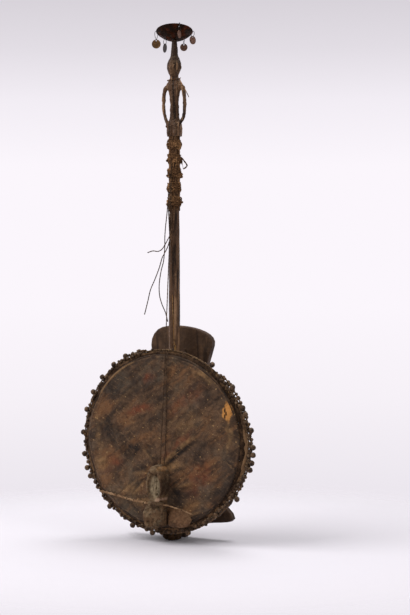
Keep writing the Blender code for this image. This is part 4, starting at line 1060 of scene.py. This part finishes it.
def makeFigure():
    y = place["neckY"]
    bm = bmesh.new()
    loft(bm, finerSections(neckForm["figure"], 0.0025), 40)
    for arm in ("rightArm", "leftArm"):
        rows = smoothPath([(p[0], p[1], p[2]) for p in neckForm[arm]], 0.003)
        sizes = smoothPath([(p[3], 0, p[2]) for p in neckForm[arm]], 0.003)
        radii = [sizes[min(i, len(sizes) - 1)].x for i in range(len(rows))]
        sweep(bm, [Vector((p.x, p.y + y, p.z)) for p in rows], 1.0, 12, radii=radii)
    for name, x, forward, z, size, seed, rough in figureFeatures:
        for side in (-1, 1) if x else (1,):
            lump(bm, (side * x, y - forward, z), size, seed, rough, 2)
    bm = carve(bm, 0.0008, 3)
    hairLow, hairTop = neckForm["hair"]
    ridgeLow, ridgeTop = neckForm["ridge"]
    plainLow, plainTop = neckForm["plain"]
    for v in bm.verts:
        if v.co.y < y and v.co.z < neckForm["cleftTop"]:  # cleft of the legs
            v.co.y += 0.0022 * math.exp(-(v.co.x / 0.0013) ** 2)
        if hairLow < v.co.z < hairTop:  # combed hair
            a = math.atan2(v.co.y - y, v.co.x)
            out = Vector((v.co.x, v.co.y - y, 0))
            v.co -= out.normalized() * 0.00035 * (0.5 + 0.5 * math.cos(22 * a))
        if v.co.y < y and ridgeLow < v.co.z < ridgeTop:  # ridge down the front
            v.co.y -= 0.0011 * math.exp(-(v.co.x / 0.0016) ** 2)
    weather(bm, 0.0008, 90.0, 5, keep=lambda p: p.z > plainTop or p.z < plainLow)
    for v in bm.verts:
        v.co.z = min(v.co.z, neckForm["top"])
    makePiece("neckFigure", bm, finish["neck"], "body", ["neck"])


makeStick()
makeFigure()
print("neck made")


# ---- the tuning bindings

binding = {
    "ring": 0.0128, "cord": 0.0018, "turns": 6, "half": 0.0098, "lowZ": 0.7125, "spacing": 0.030, "count": 5,
    "knots": 9, "limit": 0.0117, "tails": 14, "tailRing": 0.0136, "tailLow": 0.0117,
}


def makeBinding(number):
    b = binding
    index = number - 1
    random.seed(40 + number)
    y = place["neckY"]
    middle = b["lowZ"] + b["spacing"] * (b["count"] - 1 - index)
    start = math.radians(-115 + 67 * index)
    bm = bmesh.new()
    path = []
    steps = b["turns"] * 30
    for i in range(steps + 1):
        a = start + 2 * math.pi * i / 30
        share = i / steps
        about = Vector((math.cos(a), math.sin(a), i / 30 + number))
        z = middle + b["half"] * (2 * share - 1) + 0.0009 * noise.noise(about * 2)
        r = b["ring"] + 0.0004 * noise.noise(about * 3) - 0.0007 * (2 * share - 1) ** 4
        path.append((r * math.cos(a), y + r * math.sin(a), z))
    sweep(bm, smoothPath(path, 0.0016), b["cord"], 9, lobes=3, depth=0.3, pitch=0.010)
    for tail in range(b["tails"]):  # ends that hang past the lowest turn
        a = 2 * math.pi * (tail + random.uniform(-0.35, 0.35)) / b["tails"]
        lean = random.uniform(-0.12, 0.12)
        top = middle + random.uniform(-0.2, 0.9) * b["half"]
        low = middle - b["tailLow"] + random.uniform(0, 0.0012)
        tails = []
        for i in range(7):
            t = i / 6
            reach = b["tailRing"] + 0.0009 * math.sin(math.pi * t) - 0.0018 * t * t
            at = a + lean * t
            tails.append((reach * math.cos(at), y + reach * math.sin(at), top + (low - top) * t))
        line = smoothPath(tails, 0.0018)
        taper = [1 - 0.55 * (i / len(line)) ** 2 for i in range(len(line))]
        sweep(bm, line, random.uniform(0.0010, 0.0014), 8, lobes=2, depth=0.3, pitch=0.007, radii=taper)
    for strand in range(3):  # strands that cross the turns
        a0 = random.uniform(0, 6.28)
        sweepAngle = random.uniform(1.2, 2.4) * random.choice((-1, 1))
        path = []
        for i in range(13):
            t = i / 12
            a = a0 + sweepAngle * t
            r = b["ring"] + 0.0016 + 0.0009 * math.sin(math.pi * t)
            z = middle + b["half"] * 0.9 * (2 * t - 1)
            path.append((r * math.cos(a), y + r * math.sin(a), z))
        sweep(bm, smoothPath(path, 0.0016), 0.0013, 8, lobes=2, depth=0.3, pitch=0.008)
    for knot in range(b["knots"]):
        a = random.uniform(0, 6.28)
        z = middle + random.uniform(-0.8, 0.2) * b["half"]
        r = b["ring"] + 0.0023
        size = random.uniform(0.0024, 0.0036)
        centre = (r * math.cos(a), y + r * math.sin(a), z)
        lump(bm, centre, (size, size, size * 0.8), knot + number * 9, 0.4, 2)
    if number == 2:  # the loop that stands out on the right
        out = Vector((0.887, 0.4617, 0))
        loop = ((0.0140, 0.8060), (0.0205, 0.7978), (0.0264, 0.7888), (0.0225, 0.7835), (0.0178, 0.7815),
                (0.0160, 0.7880), (0.0155, 0.7980))
        path = [Vector((0, y, 0)) + out * reach + Vector((0, 0, z)) for reach, z in loop]
        path = smoothPath([*path, path[0]], 0.0012)[:-1]
        sweep(bm, path, 0.0017, 8, closed=True, lobes=2, depth=0.3, pitch=0.007)
    for v in bm.verts:
        if math.hypot(v.co.x, v.co.y - y) < 0.0175:  # the loop reaches lower
            v.co.z = max(v.co.z, middle - b["limit"])
        v.co.z = min(v.co.z, middle + b["limit"])
    makePiece(f"tuningBinding{number}", bm, finish["cord"], f"binding_{number}", [f"tuning_binding_{number}"])


strands = {                    # old string ends laid along the neck, under the bindings
    "count": 19, "ring": 0.0108, "radius": 0.0014, "low": (0.690, 0.700), "high": 0.8488,
}


def makeNeckStrands():
    s = strands
    random.seed(29)
    y = place["neckY"]
    bm = bmesh.new()
    for strand in range(s["count"]):
        a = 2 * math.pi * (strand + random.uniform(-0.3, 0.3)) / s["count"]
        low, high = random.uniform(*s["low"]), s["high"]
        path = []
        for i in range(16):
            t = i / 15
            turn = a + 0.16 * noise.noise(Vector((strand * 3.1, t * 5, 0)))
            path.append((s["ring"] * math.cos(turn), y + s["ring"] * math.sin(turn), low + (high - low) * t))
        sweep(bm, smoothPath(path, 0.002), s["radius"], 7, lobes=2, depth=0.35, pitch=0.008)
    makePiece("neckStrands", bm, finish["cord"], "body")


makeNeckStrands()
for number in range(1, binding["count"] + 1):
    makeBinding(number)
print("bindings made")


# ---- the bridge and what is beside it

bridgeForm = {
    "width": 0.040, "low": 0.0885, "top": 0.166, "proud": 0.034, "holeX": 0.0045,
    "holes": (0.47, 0.14, -0.20, -0.55), "holeRadius": 0.0019, "footX": -0.006, "footWidth": 0.044,
    "footLow": 0.036, "footTop": 0.084, "footProud": 0.026, "foldWidth": 0.050, "foldHeight": 0.040,
    "foldProud": 0.013, "tail": (-0.006, 0.040, 0.046, 0.034), "tailLumps": 16, "tailTurns": 6,
}


def makeBridge():
    b = bridgeForm
    half, tall = b["width"] / 2, (b["top"] - b["low"]) / 2
    middle = (b["top"] + b["low"]) / 2
    front = place["skinY"] - b["proud"]
    bm = bmesh.new()
    outline = []
    for i in range(48):
        a = 2 * math.pi * i / 48
        narrow = 1 - 0.16 * max(0, math.sin(a))
        outline.append((half * narrow * math.copysign(abs(math.cos(a)) ** 0.90, math.cos(a)),
                        middle + tall * math.copysign(abs(math.sin(a)) ** 0.92, math.sin(a))))
    rings = []
    for y, grow in ((place["skinY"] + 0.0015, 1.0), (place["skinY"] - 0.012, 0.985), (front + 0.006, 0.97),
                    (front + 0.0015, 0.93), (front, 0.82)):
        rings.append([bm.verts.new((x * grow, y, middle + (z - middle) * grow)) for x, z in outline])
    for low, high in zip(rings, rings[1:]):
        for k in range(48):
            bm.faces.new((low[k], low[(k + 1) % 48], high[(k + 1) % 48], high[k]))
    bm.faces.new(list(reversed(rings[0])))
    bm.faces.new(rings[-1])
    slab(bm, (0, place["skinY"] - 0.0085, 0.0990), (0.028, 0.017, 0.030))
    lump(bm, (0.003, front + 0.0015, b["low"] + 0.006), (0.012, 0.0035, 0.0055), 3, 0.25, 3)
    overCord = (-0.001, front + 0.0095, b["low"] - 0.0015)
    lump(bm, overCord, (0.019, 0.0085, 0.0058), 4, 0.3, 3)
    bm = carve(bm, 0.0011, 2)
    for v in bm.verts:
        u, w = v.co.x / half, (v.co.z - middle) / tall
        if v.co.y < front + 0.006:
            ring = math.hypot((v.co.x - 0.001) / half * 1.05, w + 0.16)
            sunk = min(1, max(0, (0.80 - ring) / 0.12))  # sunken plate
            v.co.y += 0.0046 * sunk * sunk * (3 - 2 * sunk)
            v.co.y -= 0.0012 * math.exp(-((ring - 0.90) / 0.06) ** 2) * (0.5 + 0.5 * w)  # hood over it
            v.co.y += 0.0016 * math.exp(-((v.co.x - b["holeX"]) / 0.0014) ** 2) * (abs(w) < 0.65)  # slot
            for share in b["holes"]:
                d = math.hypot(v.co.x - b["holeX"], v.co.z - middle - share * tall)
                v.co.y += 0.0075 * math.exp(-(d / b["holeRadius"]) ** 4)
        base = min(1, max(0, (v.co.y - place["skinY"] + 0.010) / 0.010))  # swells into the skin
        v.co.x *= 1 + 0.10 * base * base
        v.co.z = middle + (v.co.z - middle) * (1 + 0.05 * base * base)
    weather(bm, 0.0022, 80.0, 8)
    for v in bm.verts:
        v.co.y = min(v.co.y, place["skinY"] + 0.0010)
    makePiece("bridgeHead", bm, finish["bridge"], "body", ["bridge"])


def makeFoot():
    b = bridgeForm
    bm = bmesh.new()
    height = b["footTop"] - b["footLow"]
    centre = (b["footX"], place["skinY"] - b["footProud"] / 2 + 0.001, b["footLow"] + height / 2)
    lump(bm, centre, (b["footWidth"] * 0.495, b["footProud"] * 0.5, height * 0.495), 4, 0.06, 5)
    for v in bm.verts:  # squarer than an egg
        u, d, w = ((v.co[k] - centre[k]) / (b["footWidth"], b["footProud"], height)[k] * 2 for k in range(3))
        square = (abs(u) ** 6 + abs(d) ** 6 + abs(w) ** 6) ** (1 / 6) / max(1e-4, math.hypot(u, d, w))
        v.co = Vector(centre) + (v.co - Vector(centre)) / max(0.68, square)
    bm = carve(bm, 0.0014, 2)
    hollow = (b["footX"] - 0.013, b["footLow"] + 0.012)
    for v in bm.verts:
        if v.co.y < place["skinY"] - 0.010:
            u = (v.co.x - b["footX"]) / b["footWidth"] * 2
            w = (v.co.z - b["footLow"]) / height * 2 - 1
            v.co.x -= 0.0050 * (0.5 - 0.5 * w) ** 2 * max(0, -u)  # spreads at its foot
            overGroove = (v.co.z - b["footLow"] - 0.034) / 0.0022  # for the cord
            fromHollow = math.hypot(v.co.x - hollow[0], v.co.z - hollow[1]) / 0.0042
            v.co.y += 0.0014 * math.exp(-overGroove ** 2)
            v.co.y += 0.0050 * math.exp(-fromHollow ** 2)
            wrinkle = math.sin(v.co.x * 700 + 3 * noise.noise(v.co * 50)) * (0.5 - 0.5 * w)
            v.co.y += 0.0006 * wrinkle
    weather(bm, 0.0040, 62.0, 12)
    for v in bm.verts:
        v.co.x = min(v.co.x, b["footX"] + b["footWidth"] / 2)
        v.co.z = min(v.co.z, b["footTop"])
    makePiece("bridgeFoot", bm, finish["bridge"], "body", ["bridge_foot"])


def makeFold():
    b = bridgeForm
    x = b["footX"] + b["footWidth"] / 2 + b["foldWidth"] / 2 + 0.0003
    z = b["footLow"] + b["foldHeight"] / 2
    bm = bmesh.new()
    half = (b["foldWidth"] * 0.49, b["foldProud"] * 0.98, b["foldHeight"] * 0.47)
    lump(bm, (x, place["skinY"] + 0.001, z), half, 4, 0.15, 5)
    for v in bm.verts:
        u, w = (v.co.x - x) / b["foldWidth"] * 2, (v.co.z - z) / b["foldHeight"] * 2
        square = (abs(u) ** 5 + abs(w) ** 5) ** (1 / 5) / max(1e-4, math.hypot(u, w))
        v.co.x = x + (v.co.x - x) / max(0.70, square)
        v.co.z = z + (v.co.z - z) / max(0.70, square)
        if u > 0:  # draws out to the right
            v.co.x += 0.0050 * u * u
            v.co.z = z + (v.co.z - z) * (1 - 0.30 * u * u)
        front = v.co.y < place["skinY"] - 0.002
        for at, tilt, deep in ((0.25, 0.5, 0.0026), (-0.35, 0.3, 0.0018), (0.62, 0.7, 0.0014)):
            v.co.y += deep * front * math.exp(-(((u - w * tilt - at) / 0.11) ** 2))
        v.co.y = min(v.co.y, place["skinY"] + 0.0005)
        v.co.x = max(v.co.x, b["footX"] + b["footWidth"] / 2 + 0.0002)
    besideFoot = b["footX"] + b["footWidth"] / 2 + 0.001
    weather(bm, 0.0022, 70.0, 21, keep=lambda p: p.y > place["skinY"] - 0.001 or p.x < besideFoot)
    makePiece("hideFold", bm, finish["fold"], "body", ["skin_fold"])


def makeTail():
    x, wide, deep, tall = bridgeForm["tail"]
    y = place["neckY"]
    bm = bmesh.new()
    lump(bm, (x, y, tall / 2 - 0.004), (wide * 0.47, deep * 0.47, tall * 0.46), 6, 0.10, 5)
    bm = carve(bm, 0.0014, 2)
    weather(bm, 0.0040, 70.0, 31)
    random.seed(5)
    for k in range(bridgeForm["tailLumps"]):  # lumps of hide and cord on the bundle
        a, z = random.uniform(math.pi, 2 * math.pi), random.uniform(0.004, 0.026)
        swell = math.sqrt(max(0.1, 1 - ((z - 0.013) / 0.0185) ** 2))
        size = random.uniform(0.0026, 0.0046)
        lump(bm, (x + wide * 0.46 * swell * math.cos(a), y + deep * 0.46 * swell * math.sin(a), z),
             (size, size, size * 0.8), 80 + k, 0.35, 2)
    for turn in range(bridgeForm["tailTurns"]):
        z = 0.0055 + turn * 0.0032
        tilt = random.uniform(-0.12, 0.12)
        swell = math.sqrt(max(0.1, 1 - ((z - 0.013) / 0.0175) ** 2))
        path = []
        for i in range(48):
            a = 2 * math.pi * i / 48
            path.append((x + wide * 0.475 * swell * math.cos(a), y + deep * 0.475 * swell * math.sin(a),
                         z + tilt * 0.02 * math.cos(a + turn)))
        sweep(bm, path, 0.0017, 8, closed=True, lobes=2, depth=0.3, pitch=0.010)
    for v in bm.verts:
        v.co.z = max(v.co.z, 0.0)
    makePiece("tailBundle", bm, finish["tail"], "body", ["tail_binding"])


stayCord = {
    "radius": 0.0019, "pitch": 0.0105,
    "route": [(-0.1480, -0.0024, 0.1010), (-0.1280, -0.0030, 0.0985), (-0.1020, -0.0050, 0.0945),
              (-0.0760, -0.0095, 0.0905), (-0.0480, -0.0170, 0.0880), (-0.0240, -0.0215, 0.0864),
              (0.0000, -0.0222, 0.0863), (0.0230, -0.0205, 0.0842), (0.0400, -0.0165, 0.0800),
              (0.0560, -0.0095, 0.0745), (0.0700, -0.0040, 0.0680), (0.0760, -0.0026, 0.0650)],
}


def makeStayCord():
    bm = bmesh.new()
    path = smoothPath([behind(*p) for p in stayCord["route"]], 0.0013)
    radii = [1.55 - 0.65 * min(1, max(0, (p.x + 0.02) / 0.04)) for p in path]
    sweep(bm, path, stayCord["radius"], 12, lobes=2, depth=0.50, pitch=stayCord["pitch"], radii=radii)
    makePiece("stayCord", bm, finish["stayCord"], "body", ["stay_cord"])


makeBridge()
makeFoot()
makeFold()
makeTail()
makeStayCord()
print("bridge made")


# ---- carried-over solids get their finishes

nodeFinish = {
    "shell": "shell", "wooden_back": "back", "back_peg_1": "peg", "back_peg_2": "peg", "back_peg_3": "peg",
    "back_peg_4": "peg", "rattle_dish": "dish", "dish_nail": "wire", "pendant_disc_1": "discOlive",
    "pendant_disc_2": "discDark", "pendant_disc_3": "discTan", "pendant_disc_4": "discTan",
    "pendant_disc_5": "discTan", **{f"wire_link_{k}": "wire" for k in range(1, 6)},
}
for node, look in nodeFinish.items():
    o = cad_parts[node]
    o.data.materials.clear()
    o.data.materials.append(finish[look])
print("solids finished:", len(nodeFinish))


# ---- floor, world and lamps

stage = {
    "floor": (234, 230, 237), "fadeFrom": 0.45, "fadeTo": 0.90, "reach": 3.0, "floorZ": -0.0004,
    "skySpan": (-0.22, 0.20),
    "sky": [(0.0, (238, 233, 240)), (0.08, (246, 241, 247)), (0.20, (236, 231, 238)),
            (0.34, (246, 241, 247)), (0.48, (251, 246, 252)), (0.70, (251, 246, 252)),
            (0.80, (242, 237, 244)), (0.88, (226, 221, 228)), (1.0, (208, 203, 210))],
    "lampsAim": (0, -0.05, 0.45), "ambient": 0.40, "ambientColour": (1.0, 0.985, 0.985),
    "key": {"at": (-2.1, -2.2, 2.7), "size": 3.4, "power": 112.0},
    "fill": {"at": (2.6, -0.9, 1.4), "size": 1.6, "power": 12.0},
    "top": {"at": (0.2, 0.6, 2.8), "size": 1.6, "power": 30.0},
}


def makeFloor():
    bm = bmesh.new()
    bmesh.ops.create_circle(bm, cap_ends=True, segments=64, radius=stage["reach"])
    mesh = bpy.data.meshes.new("floor")
    bm.to_mesh(mesh)
    bm.free()
    o = bpy.data.objects.new("floor", mesh)
    o.location = (0, 0, stage["floorZ"])
    scene.collection.objects.link(o)
    m = bpy.data.materials.new("paleFloor")
    m.use_nodes = True
    tree = m.node_tree
    shader = tree.nodes["Principled BSDF"]
    shader.inputs["Base Color"].default_value = tint(*stage["floor"])
    shader.inputs["Roughness"].default_value = 0.9
    shader.inputs["Specular IOR Level"].default_value = 0.1
    clear = addNode(tree, "BsdfTransparent")
    here = addNode(tree, "TexCoord")
    far = addNode(tree, "VectorMath", {0: here.outputs["Object"]}, operation="LENGTH")
    fade = addNode(tree, "MapRange", {"Value": far.outputs["Value"], "From Min": stage["fadeFrom"],
                                      "From Max": stage["fadeTo"]}, interpolation_type="SMOOTHSTEP")
    under = addNode(tree, "NewGeometry")
    most = addNode(tree, "Math", {0: fade.outputs["Result"], 1: under.outputs["Backfacing"]},
                   operation="MAXIMUM")
    mix = addNode(tree, "MixShader", {0: most.outputs["Value"], 1: shader.outputs["BSDF"],
                                      2: clear.outputs["BSDF"]})
    tree.links.new(mix.outputs["Shader"], tree.nodes["Material Output"].inputs["Surface"])
    mesh.materials.append(m)


def makeWorld():
    world = bpy.data.worlds.new("studio")
    scene.world = world
    world.use_nodes = True
    tree = world.node_tree
    plain = tree.nodes["Background"]
    plain.inputs["Color"].default_value = (*stage["ambientColour"], 1)
    plain.inputs["Strength"].default_value = stage["ambient"]
    toward = addNode(tree, "TexCoord").outputs["Generated"]
    split = addNode(tree, "SeparateXYZ", {"Vector": toward})
    low, high = stage["skySpan"]
    height = addNode(tree, "MapRange", {"Value": split.outputs["Z"], "From Min": low, "From Max": high})
    ramp = addNode(tree, "ValToRGB", {"Fac": height.outputs["Result"]})
    stops = stage["sky"]
    cells = ramp.color_ramp.elements
    cells[0].position, cells[0].color = stops[0][0], tint(*stops[0][1])
    cells[1].position, cells[1].color = stops[-1][0], tint(*stops[-1][1])
    for at, colour in stops[1:-1]:
        cell = cells.new(at)
        cell.color = tint(*colour)
    shown = addNode(tree, "Background", {"Color": ramp.outputs["Color"], "Strength": 1.0})
    light = addNode(tree, "LightPath")
    seen = addNode(tree, "Math", {0: light.outputs["Is Camera Ray"], 1: light.outputs["Is Glossy Ray"]},
                   operation="MAXIMUM")
    seen = addNode(tree, "Math", {0: seen.outputs["Value"], 1: light.outputs["Is Transmission Ray"]},
                   operation="MAXIMUM")
    mix = addNode(tree, "MixShader", {0: seen.outputs["Value"], 1: plain.outputs["Background"],
                                      2: shown.outputs["Background"]})
    tree.links.new(mix.outputs["Shader"], tree.nodes["World Output"].inputs["Surface"])


def makeLamp(name):
    lamp = stage[name]
    data = bpy.data.lights.new(name, "AREA")
    data.shape = "DISK"
    data.size = lamp["size"]
    data.energy = lamp["power"]
    o = bpy.data.objects.new(name, data)
    o.location = lamp["at"]
    o.rotation_mode = "QUATERNION"
    o.rotation_quaternion = (Vector(stage["lampsAim"]) - Vector(lamp["at"])).to_track_quat("-Z", "Y")
    scene.collection.objects.link(o)


makeFloor()
makeWorld()
for name in ("key", "fill", "top"):
    makeLamp(name)
scene.view_settings.view_transform = "Standard"
print("stage made")
